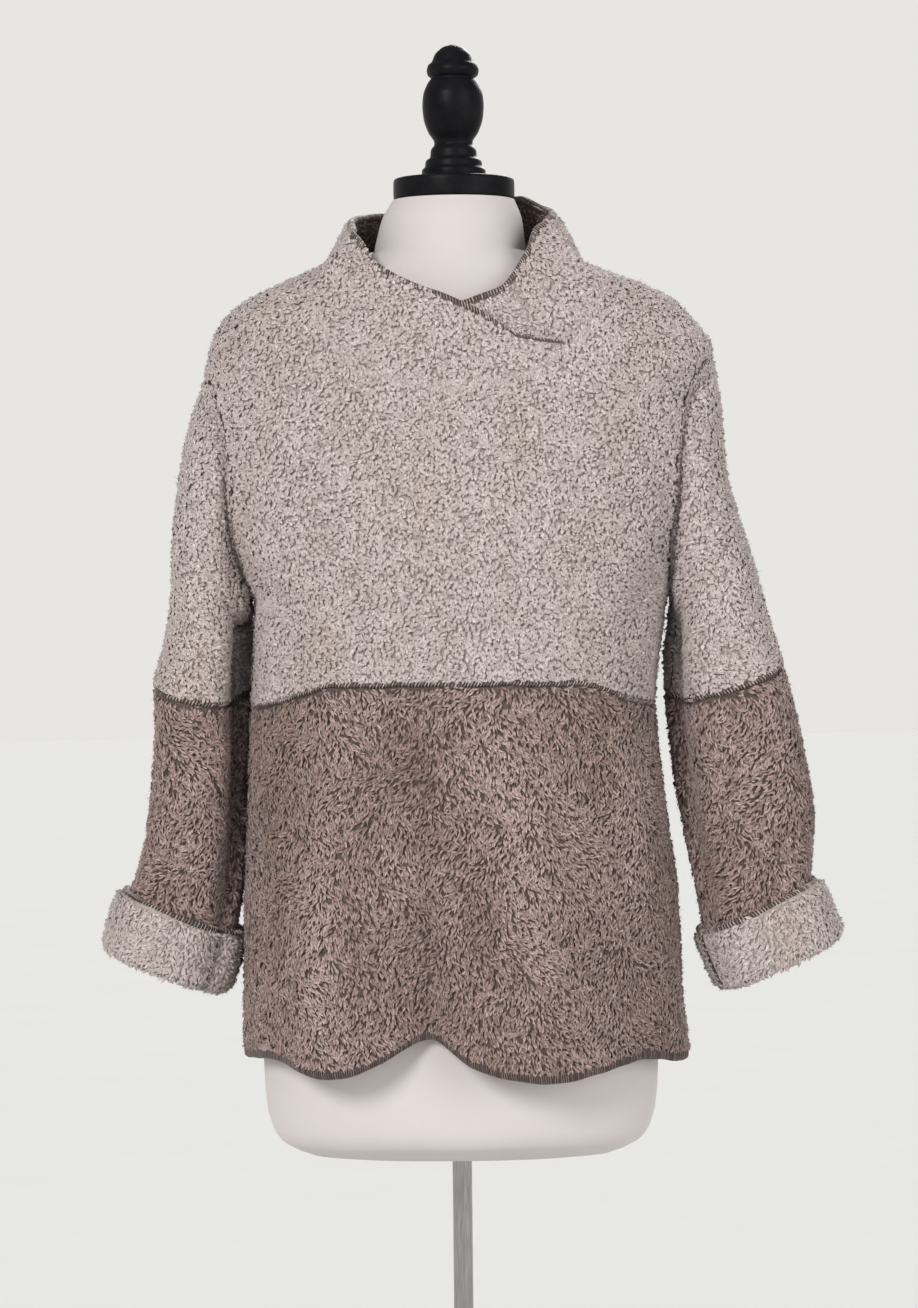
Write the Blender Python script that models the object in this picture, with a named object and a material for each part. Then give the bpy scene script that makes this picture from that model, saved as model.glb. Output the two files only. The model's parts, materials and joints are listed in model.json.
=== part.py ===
"""A crossover-collar pile pullover on a limbless dress form with a finial, a pole and a round foot.

Metres, +Z up, front towards -Y. The origin is the centre of the foot's underside.
The sizes below are in millimetres and become metres when a mesh is made.
Wearer's right is towards -X. Cloth is one wall, pile included, PLUSH thick.
"""

import bpy
import numpy as np

MM = 0.001
PLUSH = 5.0
SEAM_GAP = 0.3
SHOULDER_CLEARANCE = 2.5
FLAP_STEP = 6.3

BODY_SQUARENESS = 2.3
SLEEVE_SQUARENESS = 2.5
FRONT_COLUMNS = 24
BACK_COLUMNS = 20
LOWER_ROWS = 9
SIDE_ROWS = 3
ARMHOLE_ROWS = 10
SHOULDER_ROWS = 6
SHOULDER_SPREAD = 1.45
SIDE_PULL = 1.5
SLEEVE_UPPER_ROWS = 8
SLEEVE_LOWER_ROWS = 8
COLLAR_ROWS = 5

NECK_POINT_HEIGHT = 1421.0
SIDE_WAIST_HEIGHT = 1060.0
FRONT_WAIST_RISE = 16.0
BACK_WAIST_RISE = 4.0
WAIST_RISE_STARTS = 18.0
WAIST_RISE_SPAN = 34.0
HEM_HEIGHT = 772.0
HEM_DROP_AT_FOLDS = 0.9
HEM_TILT = 3.0
COLLAR_TOP_HEIGHT = 1470.0
OVER_TIP_ANGLE = -45.0
FRONT_STEP = 180.0 / FRONT_COLUMNS
BACK_STEP = 180.0 / BACK_COLUMNS


def table(columns, *rows):
    """A table as one array for each named column."""
    return {name: np.array(values, float) for name, values in zip(columns, zip(*rows))}


BODY = table(
    ("height", "right_side", "left_side", "front", "back"),
    (700, 178, 188, 148, 140),
    (771, 177, 186, 146, 138),
    (816, 176, 181, 143, 134),
    (898, 175, 178, 138, 129),
    (980, 171, 168, 132, 121),
    (1062, 168, 161, 128, 113),
    (1110, 165, 166, 132, 114),
    (1144, 164, 171, 134, 116),
    (1162, 173, 176, 134, 117),
    (1195, 189, 184, 134, 118),
    (1226, 196, 192, 131, 119),
    (1277, 202, 203, 119, 117),
    (1322, 203, 206, 105, 111),
    (1349, 199, 211, 96, 104),
    (1366, 193, 200, 90, 99),
    (1384, 178, 184, 83, 91),
    (1398, 153, 160, 78, 85),
    (1408, 130, 133, 75, 81),
    (1416, 111, 113, 72, 77),
    (1424, 93, 98, 70, 74),
)

BODY_FOLDS = table(
    ("angle", "spread", "rise", "starts_at", "full_at"),
    (-126, 20, 11, 1010, 820),
    (-103, 13, -27, 950, 800),
    (-66, 19, 11, 1000, 800),
    (-150, 12, -5, 930, 800),
    (-32, 13, -6, 980, 820),
    (62, 17, 9, 1000, 800),
    (88, 11, -16, 960, 800),
    (118, 16, 8, 1020, 830),
    (150, 12, -5, 940, 800),
)

NECKLINE_FRONT = table(
    ("turn", "height"),
    (0, NECK_POINT_HEIGHT),
    (14, 1418.5),
    (20, 1413),
    (25, 1402),
    (30, 1385),
    (38, 1361),
    (46, 1344),
    (56, 1328),
    (70, 1317),
    (90, 1312),
)

NECKLINE_BACK = table(
    ("turn", "height"),
    (0, NECK_POINT_HEIGHT),
    (30, 1413),
    (60, 1407),
    (90, 1405),
)

ARMHOLE = {
    "right": {"top": 1330.0, "under": 1142.0, "front_turn": 19.0, "back_turn": 17.0},
    "left": {"top": 1346.0, "under": 1144.0, "front_turn": 19.5, "back_turn": 17.0},
}

SLEEVE_COLUMNS = (
    "station",
    "outer_x",
    "outer_z",
    "inner_x",
    "inner_z",
    "front",
    "back",
    "turn",
    "drop",
    "crease_at",
    "crease",
)
SLEEVE = {
    "right": table(
        SLEEVE_COLUMNS,
        (0.0, 204, 1330, 164, 1142, 62, 62, 0, 0, 150, 0),
        (0.13, 213, 1303, 169, 1145.5, 63, 62, 1, 0, 152, -4),
        (0.26, 220, 1273, 171, 1144, 64, 62, 3, 2, 154, -11),
        (0.39, 225, 1236, 171, 1137, 65, 62, 5, 4, 156, -6),
        (0.51, 228, 1195, 170, 1125, 66, 62, 7, 7, 158, 20),
        (0.64, 229, 1160, 170, 1110, 66, 62, 8, 10, 158, 34),
        (0.88, 236, 1112, 170, 1086, 65, 62, 9, 12, 158, 34),
        (1.0, 244, 1084, 170, 1070, 64, 61, 9, 13, 157, 32),
        (1.16, 244, 1050, 170, 1038, 63, 60, 8, 9, 156, 30),
        (1.34, 247, 1008, 172.5, 1000, 61, 58, 6, 6, 154, 27),
        (1.52, 252, 966, 174.5, 960, 58, 56, 4, 4, 148, 21),
        (1.68, 260, 932, 177.5, 917, 55, 54, 2, 4, 142, 15),
        (1.82, 269, 907, 184, 874, 52, 52, 0, 3, 134, 9),
    ),
    "left": table(
        SLEEVE_COLUMNS,
        (0.0, 211, 1346, 171, 1144, 62, 62, 0, 0, 150, 0),
        (0.13, 215, 1318, 176, 1147, 63, 62, 1, 0, 154, -3),
        (0.26, 218, 1288, 177, 1146, 64, 62, 2, 2, 156, -8),
        (0.39, 220, 1251, 178, 1139, 64, 62, 3, 4, 158, -4),
        (0.51, 231, 1207, 176, 1127, 63, 60, 4, 6, 160, 16),
        (0.64, 243, 1168, 174, 1110, 62, 59, 5, 8, 160, 28),
        (0.88, 255, 1122, 172, 1088, 61, 58, 6, 10, 160, 30),
        (1.0, 264, 1095, 172, 1066, 60, 57, 6, 11, 160, 29),
        (1.16, 274, 1055, 175, 1030, 59, 56, 5, 7, 159, 27),
        (1.34, 284, 1006, 179, 992, 57, 55, 3, 4, 156, 23),
        (1.52, 290, 964, 186, 952, 55, 53, 0, 2, 152, 16),
        (1.68, 288, 934, 194, 912, 53, 52, -1, 2, 148, 10),
        (1.82, 286, 909, 201, 871, 52, 51, 0, 2, 144, 6),
    ),
}
CREASE_SPREAD = 17.0
CREASE_TUCK = 0.3
ARMHOLE_FADE = 0.5

CUFF_START = 1.82
SLEEVE_END = 2.0
HIDDEN_LENGTH = 36.0
CUFF_LEAN = {"right": 17.0, "left": 23.0}
CUFF_PROFILE = table(
    ("out", "down"),
    (0.9, -1),
    (0.7, 20),
    (0.6, 36.6),
    (-4.6, 36.6),
    (-5.2, 42),
    (-2.5, 46.5),
    (2.5, 48),
    (6.8, 45.5),
    (9.3, 39),
    (9.8, 24),
    (9.2, 8),
    (7.6, 0),
    (4.6, -2.5),
)

COLLAR_SHAPE = table(
    ("angle", "top_radius", "bulge"),
    (-180, 76, 2),
    (-165, 70, 2),
    (-150, 62, 4),
    (-130, 58, 9),
    (-110, 64, 9),
    (-90, 71, 8),
    (-60, 66, 8),
    (-45, 62, 8),
    (-30, 63, 3),
    (-15, 70, 1),
    (0, 78, 2),
    (45, 78, 2),
    (90, 77, 2),
    (135, 78, 2),
    (180, 76, 2),
)

COLLAR_EDGE = table(
    ("travel", "height"),
    (0, 1350),
    (15, 1354),
    (30, 1372),
    (50, 1389),
    (70, 1402),
    (85, 1415),
    (105, 1441),
    (135, 1457),
    (180, 1467),
    (225, 1472),
    (275, 1479),
    (295, 1470),
    (315, 1462),
    (345, 1448),
    (365, 1419),
    (380, 1396),
    (400, 1383),
    (425, 1370),
    (450, 1359),
)
COLLAR_LENGTH = 450.0
BACK_NECK_STARTS = 135.0
BACK_NECK_ENDS = 315.0
UNDER_STARTS = 332.0
UNDER_FULL = 355.0

FORM = table(
    ("height", "side", "front", "back", "squareness"),
    (696, 134, 74, 80, 2.3),
    (703, 146, 88, 94, 2.3),
    (714, 154, 96, 103, 2.3),
    (737, 160, 102, 109, 2.3),
    (790, 162, 106, 111, 2.3),
    (850, 160, 106, 110, 2.3),
    (950, 142, 94, 96, 2.3),
    (1060, 121, 84, 80, 2.3),
    (1150, 137, 100, 88, 2.3),
    (1230, 160, 111, 98, 2.3),
    (1285, 182, 104, 100, 2.3),
    (1320, 195, 86, 96, 2.3),
    (1345, 203, 78, 90, 2.2),
    (1372, 200, 71, 84, 2.0),
    (1400, 150, 66, 76, 1.8),
    (1420, 96, 64, 70, 1.7),
)
FORM_BOTTOM = 690.0
FORM_BOTTOM_RING = (100.0, 56.0, 62.0)
FORM_RING_HEIGHTS = (
    696, 703, 714, 737, 790, 850, 905, 960, 1010, 1060, 1105, 1150, 1195, 1240, 1275, 1300
)
FORM_SHOULDER_HEIGHTS = (1326, 1344, 1362, 1378, 1391, 1402, 1412, 1420)
FORM_NECK = table(
    ("height", "radius", "centre"),
    (1431, 62.5, -2),
    (1441, 60.5, -1.5),
    (1456, 57.5, -0.5),
    (1472, 50, 1),
)
FORM_AROUND = 32
FINIAL_CENTRE = 1.5

CAP_RADIUS = 49.7
CAP_THICKNESS = 17.5
CAP_EDGE = 2.5
FINIAL_PROFILE = table(
    ("radius", "above_cap"),
    (26.2, 0.0),
    (26.2, 7.0),
    (23.5, 9.0),
    (23.0, 14.5),
    (19.2, 16.5),
    (18.7, 23.5),
    (15.6, 27.0),
    (16.0, 31.0),
    (20.5, 37.0),
    (24.2, 47.0),
    (25.4, 59.0),
    (24.4, 70.0),
    (20.5, 78.5),
    (17.6, 82.0),
    (20.6, 84.0),
    (21.6, 88.5),
    (20.2, 93.0),
    (17.2, 95.0),
    (14.6, 102.0),
    (8.5, 107.5),
)
FINIAL_HEIGHT = 109.5

POLE_RADIUS = 8.0
FOOT_RADIUS = 160.0
FOOT_EDGE = 9.0
FOOT_MIDDLE = 14.0
HUB_RADIUS = 17.0
HUB_HEIGHT = 42.0
TURNED_SIDES = 32


def read(columns, key, column, at):
    """The column's smooth value where the key column is at, with no overshoot between rows."""
    xs, ys = columns[key], columns[column]
    at = np.clip(np.asarray(at, float), xs[0], xs[-1])
    steps = np.diff(xs)
    slopes = np.diff(ys) / steps
    ends = np.zeros(len(xs))
    same_way = slopes[:-1] * slopes[1:] > 0
    with np.errstate(divide="ignore", invalid="ignore"):
        middle = 2 * slopes[:-1] * slopes[1:] / (slopes[:-1] + slopes[1:])
    ends[1:-1] = np.where(same_way, middle, 0)
    ends[0], ends[-1] = slopes[0], slopes[-1]
    span = np.clip(np.searchsorted(xs, at, side="right") - 1, 0, len(xs) - 2)
    part = (at - xs[span]) / steps[span]
    return (
        ys[span] * (1 + 2 * part) * (1 - part) ** 2
        + ys[span + 1] * part**2 * (3 - 2 * part)
        + steps[span] * ends[span] * part * (1 - part) ** 2
        - steps[span] * ends[span + 1] * part**2 * (1 - part)
    )


def ease(value):
    """A soft step from 0 at 0 to 1 at 1."""
    value = np.clip(value, 0, 1)
    return value * value * (3 - 2 * value)


def unit(vectors):
    return vectors / np.maximum(np.linalg.norm(vectors, axis=-1, keepdims=True), 1e-9)


def oval_radius(angle, side, depth, squareness):
    along, across = np.abs(np.cos(angle)) / side, np.abs(np.sin(angle)) / depth
    return (along**squareness + across**squareness) ** (-1 / squareness)


def turn_between(angle, centre):
    """Degrees from one angle to another, the short way round."""
    return (np.degrees(angle) - centre + 180) % 360 - 180


def body_folds(angle, height):
    total = np.zeros(np.broadcast(angle, height).shape)
    for centre, spread, rise, starts, full in zip(*BODY_FOLDS.values()):
        grown = ease((starts - height) / (starts - full))
        total = total + rise * grown * np.exp(-((turn_between(angle, centre) / spread) ** 2))
    return total


def body_point(angle, height):
    """The outer face of the pullover's body at an angle round the form and a height."""
    angle, height = np.broadcast_arrays(np.asarray(angle, float), np.asarray(height, float))
    right = read(BODY, "height", "right_side", height)
    left = read(BODY, "height", "left_side", height)
    front = read(BODY, "height", "front", height)
    back = read(BODY, "height", "back", height)
    side = np.where(np.cos(angle) < 0, right, left)
    depth = np.where(np.sin(angle) < 0, front, back)
    radius = oval_radius(angle, side, depth, BODY_SQUARENESS) + body_folds(angle, height)
    return np.stack([radius * np.cos(angle), radius * np.sin(angle), height], axis=-1)


def normals_of(surface, first, second):
    """Unit normals of a surface of two values, from small steps either way."""
    step = 1e-3
    along = surface(first + step, second) - surface(first - step, second)
    up = surface(first, second + step) - surface(first, second - step)
    return unit(np.cross(unit(along), unit(up)))


def neckline_height(angle):
    turn = np.degrees(np.arcsin(np.clip(np.abs(np.sin(angle)), 0, 1)))
    front = read(NECKLINE_FRONT, "turn", "height", turn)
    back = read(NECKLINE_BACK, "turn", "height", turn)
    return np.where(np.sin(angle) < 0, front, back)


def waist_height(angle):
    turn = np.degrees(np.arcsin(np.clip(np.abs(np.sin(angle)), 0, 1)))
    rise = np.where(np.sin(angle) < 0, FRONT_WAIST_RISE, BACK_WAIST_RISE)
    return SIDE_WAIST_HEIGHT + rise * ease((turn - WAIST_RISE_STARTS) / WAIST_RISE_SPAN)


def hem_height(angle):
    """The hem hangs a little lower under each fold that stands out."""
    folds = body_folds(angle, np.full(np.shape(angle), HEM_HEIGHT))
    return HEM_HEIGHT - HEM_DROP_AT_FOLDS * folds - HEM_TILT * np.cos(angle)


def armhole_turn(side, height, front):
    """Degrees from the side line to the armhole's edge at a height."""
    hole = ARMHOLE[side]
    middle = (hole["top"] + hole["under"]) / 2
    half = (hole["top"] - hole["under"]) / 2
    widest = hole["front_turn"] if front else hole["back_turn"]
    return widest * np.sqrt(np.clip(1 - ((height - middle) / half) ** 2, 0, 1))


def side_heights(side):
    """Heights of the upper panels' rows on one side: under the armhole, beside it, along the shoulder."""
    hole = ARMHOLE[side]
    middle = (hole["top"] + hole["under"]) / 2
    half = (hole["top"] - hole["under"]) / 2
    low = np.linspace(SIDE_WAIST_HEIGHT, hole["under"], SIDE_ROWS + 1)[:-1]
    beside = middle - half * np.cos(np.linspace(0, np.pi, ARMHOLE_ROWS + 1))[:-1]
    rise = 1 - (1 - np.linspace(0, 1, SHOULDER_ROWS + 1)) ** SHOULDER_SPREAD
    over = hole["top"] + (NECK_POINT_HEIGHT - hole["top"]) * rise
    return np.concatenate([low, beside, over])


def panel_angles(front):
    """The angles of a panel's columns: the front from wearer's right to left, the back from left to right."""
    if front:
        return np.radians(-180 + FRONT_STEP * np.arange(FRONT_COLUMNS + 1))
    return np.radians(BACK_STEP * np.arange(BACK_COLUMNS + 1))


def upper_grid(front):
    """Angles and heights of an upper panel's points, by column and row."""
    base = panel_angles(front)
    first, last = ("right", "left") if front else ("left", "right")
    across = np.linspace(0, 1, len(base))[:, None]
    first_heights, last_heights = side_heights(first), side_heights(last)
    span = NECK_POINT_HEIGHT - SIDE_WAIST_HEIGHT
    share = (first_heights * (1 - across) + last_heights * across - SIDE_WAIST_HEIGHT) / span
    beside = np.abs(2 * across - 1) ** SIDE_PULL
    share = beside * share + (1 - beside) * np.linspace(0, 1, len(first_heights))
    first_turn = np.radians(armhole_turn(first, first_heights, front))
    last_turn = np.radians(armhole_turn(last, last_heights, front))
    bottom, top = waist_height(base)[:, None], neckline_height(base)[:, None]
    heights = bottom + (top - bottom) * share
    angles = base[0] + across * np.pi + first_turn * (1 - across) ** 3 - last_turn * across**3
    return angles, heights


def lower_grid(front):
    base = panel_angles(front)[:, None]
    share = np.linspace(0, 1, LOWER_ROWS + 1)[None, :]
    low, high = hem_height(base), waist_height(base)
    return base + 0 * share, low + (high - low) * share


def armhole_loop(side):
    """Angles and heights of the armhole's points: top, down the front, underarm, up the back."""
    hole = ARMHOLE[side]
    middle = (hole["top"] + hole["under"]) / 2
    half = (hole["top"] - hole["under"]) / 2
    around = np.arange(2 * ARMHOLE_ROWS) * np.pi / ARMHOLE_ROWS
    heights = middle + half * np.cos(around)
    front = np.sin(around) > 0
    turn = np.where(front, armhole_turn(side, heights, True), armhole_turn(side, heights, False))
    turn = np.radians(turn) * np.where(front, -1, 1)
    angles = np.pi - turn if side == "right" else turn
    return around, angles, heights


def sleeve_ring(side, around, station):
    """The sleeve's own ring, before it is drawn to the armhole."""
    rows = SLEEVE[side]
    sign = -1 if side == "right" else 1

    def value(column):
        return read(rows, "station", column, station)

    power = 2 / SLEEVE_SQUARENESS
    out = np.sign(np.cos(around)) * np.abs(np.cos(around)) ** power
    forward = np.sign(np.sin(around)) * np.abs(np.sin(around)) ** power
    half_x = (value("outer_x") - value("inner_x")) / 2
    half_z = (value("outer_z") - value("inner_z")) / 2
    near_crease = turn_between(around, value("crease_at")) / CREASE_SPREAD
    tuck = value("crease") * np.exp(-(near_crease**2))
    x = value("outer_x") - half_x + half_x * out + value("turn") * forward + CREASE_TUCK * tuck
    y = tuck - forward * np.where(forward > 0, value("front"), value("back"))
    z = value("outer_z") - half_z + half_z * out - value("drop") * forward
    return np.stack([sign * x, y, z], axis=-1)


def cuff_direction(side):
    """The way the sleeve points where its cuff is, down and a little away from the body."""
    lean = np.radians(CUFF_LEAN[side])
    return np.array([(-1 if side == "right" else 1) * np.sin(lean), 0, -np.cos(lean)])


def sleeve_point(side, around, station):
    """The outer face of a sleeve. It starts at the armhole's edge and runs straight inside the cuff."""
    around, station = np.broadcast_arrays(
        np.asarray(around, float), np.asarray(station, float)
    )
    hole = ARMHOLE[side]
    middle = (hole["top"] + hole["under"]) / 2
    heights = middle + (hole["top"] - hole["under"]) / 2 * np.cos(around)
    widest = np.where(np.sin(around) > 0, hole["front_turn"], hole["back_turn"])
    turn = -np.radians(widest * np.sin(around))
    edge = body_point(np.pi - turn if side == "right" else turn, heights)
    kept = 1 - ease(station / ARMHOLE_FADE)
    moved = (edge - sleeve_ring(side, around, np.zeros_like(station))) * kept[..., None]
    past = np.maximum(station - CUFF_START, 0) / (SLEEVE_END - CUFF_START) * HIDDEN_LENGTH
    shown = sleeve_ring(side, around, np.minimum(station, CUFF_START))
    return shown + moved + past[..., None] * cuff_direction(side)


def outward(side, normals):
    """Sleeve normals point out of the tube on both sides."""
    return normals if side == "left" else -normals


def sleeve_normals(side, around, station):
    def surface(first, second):
        return sleeve_point(side, first, second)

    return outward(side, normals_of(surface, around, np.maximum(station, 2e-3)))


def collar_radius(angle, height):
    """The collar's round, leaning face: from the neckline in to its top radius."""
    degrees = (np.degrees(angle) + 180) % 360 - 180
    start = neckline_height(angle)
    base = np.linalg.norm(body_point(angle, start)[..., :2], axis=-1)
    rise = (height - start) / (COLLAR_TOP_HEIGHT - start)
    top = read(COLLAR_SHAPE, "angle", "top_radius", degrees)
    bulge = read(COLLAR_SHAPE, "angle", "bulge", degrees)
    return base + (top - base) * rise + bulge * 4 * rise * (1 - np.minimum(rise, 1))


def collar_point(travel, share):
    """travel: degrees along the strip from the over flap's tip; share: from neckline to free edge."""
    travel, share = np.broadcast_arrays(np.asarray(travel, float), np.asarray(share, float))
    angle = np.radians(OVER_TIP_ANGLE - travel)
    start = neckline_height(angle)
    height = start + (read(COLLAR_EDGE, "travel", "height", travel) - start) * share
    under = FLAP_STEP * ease((travel - UNDER_STARTS) / (UNDER_FULL - UNDER_STARTS))
    radius = collar_radius(angle, height) - under
    return np.stack([radius * np.cos(angle), radius * np.sin(angle), height], axis=-1)


def collar_normals(travel, share):
    def surface(first, second):
        return collar_point(first, second)

    return -normals_of(surface, travel, share)


def drawn_in(points, axis, first=True, last=True):
    """Moves a grid's edge rows half a seam's gap towards their neighbours."""
    points = np.moveaxis(points.copy(), axis, 0)
    if first:
        points[0] += unit(points[1] - points[0]) * SEAM_GAP / 2
    if last:
        points[-1] += unit(points[-2] - points[-1]) * SEAM_GAP / 2
    return np.moveaxis(points, 0, axis)


def add_mesh(name, points, faces, colour, roughness, metallic=0.0):
    """One object from points in millimetres, with its own material and faces turned out."""
    points = np.asarray(points, float) * MM
    corners = [(face[0], face[k], face[k + 1]) for face in faces for k in range(1, len(face) - 1)]
    a, b, c = (points[[corner[k] for corner in corners]] for k in range(3))
    if np.einsum("ij,ij->", a, np.cross(b, c)) < 0:
        faces = [tuple(reversed(face)) for face in faces]
    mesh = bpy.data.meshes.new(name)
    mesh.from_pydata(points.tolist(), [], faces)
    mesh.update()
    mesh.shade_smooth()
    mesh.set_sharp_from_angle(angle=np.radians(40))
    material = bpy.data.materials.new(name)
    material.use_nodes = True
    shader = material.node_tree.nodes["Principled BSDF"]
    shader.inputs["Base Color"].default_value = (*colour, 1.0)
    shader.inputs["Roughness"].default_value = roughness
    shader.inputs["Metallic"].default_value = metallic
    mesh.materials.append(material)
    placed = bpy.data.objects.new(name, mesh)
    bpy.context.scene.collection.objects.link(placed)
    return placed


def halves(band, split, turned):
    """Two triangles from four corners, cut from the first corner or, when split, from the second."""
    a, b, c, d = band
    pair = [(a, b, d), (b, c, d)] if split else [(a, b, c), (a, c, d)]
    return [tuple(reversed(face)) for face in pair] if turned else pair


def wall(name, outer, inner, wrapped, colour, split=(False, False)):
    """A cloth wall between two grids of the same shape; wrapped closes it round its first axis.

    split says which way the bands at the ends are cut in triangles, the rows' bands and then the
    columns' (one value, or one for each row), so that two pieces at a seam are cut alike.
    """
    columns, rows = outer.shape[:2]
    points = np.concatenate([outer.reshape(-1, 3), inner.reshape(-1, 3)])
    back = columns * rows

    def at(column, row, layer):
        return layer * back + (column % columns) * rows + row

    faces = []
    for column in range(columns if wrapped else columns - 1):
        after = column + 1
        for row in range(rows - 1):
            up = row + 1
            corners = ((column, row), (after, row), (after, up), (column, up))
            faces.append(tuple(at(*corner, 0) for corner in corners))
            faces.append(tuple(at(*corner, 1) for corner in reversed(corners)))
        for row, turned in ((0, True), (rows - 1, False)):
            band = [at(column, row, 0), at(after, row, 0), at(after, row, 1), at(column, row, 1)]
            faces.extend(halves(band, split[0], turned))
    if not wrapped:
        splits = np.broadcast_to(split[1], rows - 1)
        for row in range(rows - 1):
            up = row + 1
            for end, turned in ((0, False), (columns - 1, True)):
                band = [at(end, row, 0), at(end, up, 0), at(end, up, 1), at(end, row, 1)]
                faces.extend(halves(band, splits[row], turned))
    return add_mesh(name, points, faces, colour, 0.95)


def loft(name, rings, colour, roughness, metallic=0.0):
    """A closed solid through rings of equal count, with a fan on each end."""
    count = len(rings[0])
    points = np.concatenate([*rings, [rings[0].mean(axis=0)], [rings[-1].mean(axis=0)]])
    low, high = len(points) - 2, len(points) - 1
    faces = []
    for ring in range(len(rings) - 1):
        for k in range(count):
            after = (k + 1) % count
            start, above = ring * count, (ring + 1) * count
            faces.append((start + k, start + after, above + after, above + k))
    for k in range(count):
        after = (k + 1) % count
        faces.append((low, after, k))
        faces.append((high, (len(rings) - 1) * count + k, (len(rings) - 1) * count + after))
    return add_mesh(name, points, faces, colour, roughness, metallic)


def round_ring(radius, height, count=TURNED_SIDES, centre_x=0.0):
    angle = np.arange(count) * 2 * np.pi / count
    across = centre_x + radius * np.cos(angle)
    return np.stack([across, radius * np.sin(angle), 0 * angle + height], axis=-1)


def body_normals(angle, height):
    return normals_of(body_point, angle, height)


def seam_normals_on_panel(normals, front):
    """Along the armholes and the neckline a panel's wall turns to meet the sleeve's and the collar's."""
    normals = normals.copy()
    rows = slice(SIDE_ROWS, SIDE_ROWS + ARMHOLE_ROWS + 1)
    for side in ("right", "left"):
        column = 0 if (side == "right") == front else -1
        around = np.linspace(np.pi, 0, ARMHOLE_ROWS + 1) * (1 if front else -1)
        meeting = sleeve_normals(side, around, np.zeros(len(around)))
        normals[column, rows] = unit(normals[column, rows] + meeting)
    travel = OVER_TIP_ANGLE - np.degrees(panel_angles(front))
    travel = travel % 360 if front else travel + 360
    meeting = collar_normals(travel, np.full(travel.shape, 0.02))
    normals[:, -1] = unit(normals[:, -1] + meeting)
    return normals


def add_panel(name, grid, front, upper, colour):
    angles, heights = grid
    outer = body_point(angles, heights)
    normals = body_normals(angles, heights)
    if upper:
        normals = seam_normals_on_panel(normals, front)
    inner = outer - normals * PLUSH
    layers = [drawn_in(drawn_in(layer, 0), 1, first=upper) for layer in (outer, inner)]
    side_split = np.zeros(outer.shape[1] - 1, bool)
    if upper:
        side_split[SIDE_ROWS : SIDE_ROWS + ARMHOLE_ROWS] = front
    return wall(name, *layers, False, colour, (False, side_split))


def add_sleeve(name, side, stations, upper, colour):
    around, angles, heights = armhole_loop(side)
    grid_around, grid_station = np.meshgrid(around, stations, indexing="ij")
    outer = sleeve_point(side, grid_around, grid_station)
    normals = sleeve_normals(side, grid_around, grid_station)
    if upper:
        normals[:, 0] = unit(normals[:, 0] + body_normals(angles, heights))
    inner = outer - normals * PLUSH
    layers = [drawn_in(layer, 1, last=upper) for layer in (outer, inner)]
    return wall(name, *layers, True, colour)


def add_cuff(name, side, colour):
    """A turned-back cuff: the profile runs round the sleeve's end, flap outside, fold below."""
    around = armhole_loop(side)[0]
    start = sleeve_point(side, around, np.full(around.shape, CUFF_START))
    down = cuff_direction(side)
    across = sleeve_normals(side, around, np.full(around.shape, CUFF_START))
    across = unit(across - (across @ down)[:, None] * down)
    out, along = CUFF_PROFILE["out"], CUFF_PROFILE["down"]
    points = start[:, None] + across[:, None] * out[None, :, None] + down * along[None, :, None]
    columns, count = points.shape[:2]
    faces = []
    for column in range(columns):
        here, after = column * count, (column + 1) % columns * count
        for k in range(count):
            up = (k + 1) % count
            faces.append((here + k, after + k, after + up, here + up))
    return add_mesh(name, points.reshape(-1, 3), faces, colour, 0.95)


def add_collar(name, colour):
    travels = np.concatenate(
        [
            np.arange(0, BACK_NECK_STARTS, FRONT_STEP),
            np.arange(BACK_NECK_STARTS, BACK_NECK_ENDS, BACK_STEP),
            np.arange(BACK_NECK_ENDS, COLLAR_LENGTH + 1, FRONT_STEP),
        ]
    )
    travel, share = np.meshgrid(travels, np.linspace(0, 1, COLLAR_ROWS + 1), indexing="ij")
    outer = collar_point(travel, share)
    normals = collar_normals(travel, np.maximum(share, 0.02))
    angle = np.radians(OVER_TIP_ANGLE - travels)
    sewn = travels < UNDER_STARTS
    normals[sewn, 0] = unit(normals[sewn, 0] + body_normals(angle, neckline_height(angle))[sewn])
    inner = outer - normals * PLUSH
    layers = [drawn_in(layer, 1, last=False) for layer in (outer, inner)]
    return wall(name, *layers, False, colour, (True, False))


def form_ring(side, front, back, height):
    angle = np.arange(FORM_AROUND) * 2 * np.pi / FORM_AROUND
    depth = np.where(np.sin(angle) < 0, front, back)
    radius = oval_radius(angle, side, depth, BODY_SQUARENESS)
    return np.stack([radius * np.cos(angle), radius * np.sin(angle), 0 * angle + height], axis=-1)


def form_shoulder_ring(height):
    """Just inside the cloth's inner face at the shoulders, and the form's own chest and back elsewhere."""
    angle = np.arange(FORM_AROUND) * 2 * np.pi / FORM_AROUND
    heights = np.full(angle.shape, float(height))
    inside = PLUSH + SHOULDER_CLEARANCE
    points = body_point(angle, heights) - body_normals(angle, heights) * inside
    sizes = [read(FORM, "height", column, points[:, 2]) for column in ("side", "front", "back")]
    depth = np.where(np.sin(angle) < 0, sizes[1], sizes[2])
    squareness = read(FORM, "height", "squareness", points[:, 2])
    own = oval_radius(angle, sizes[0], depth, squareness)
    reach = np.linalg.norm(points[:, :2], axis=1)
    points[:, :2] *= np.minimum(1, own / reach)[:, None]
    return points


def add_form(colour):
    rings = [form_ring(*FORM_BOTTOM_RING, FORM_BOTTOM)]
    for height in FORM_RING_HEIGHTS:
        sizes = [read(FORM, "height", column, height) for column in ("side", "front", "back")]
        rings.append(form_ring(*sizes, height))
    rings.extend(form_shoulder_ring(height) for height in FORM_SHOULDER_HEIGHTS)
    for height, radius, centre in zip(*FORM_NECK.values()):
        rings.append(round_ring(radius, height, FORM_AROUND, centre))
    return loft("form_torso", rings, colour, 0.85)


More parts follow.
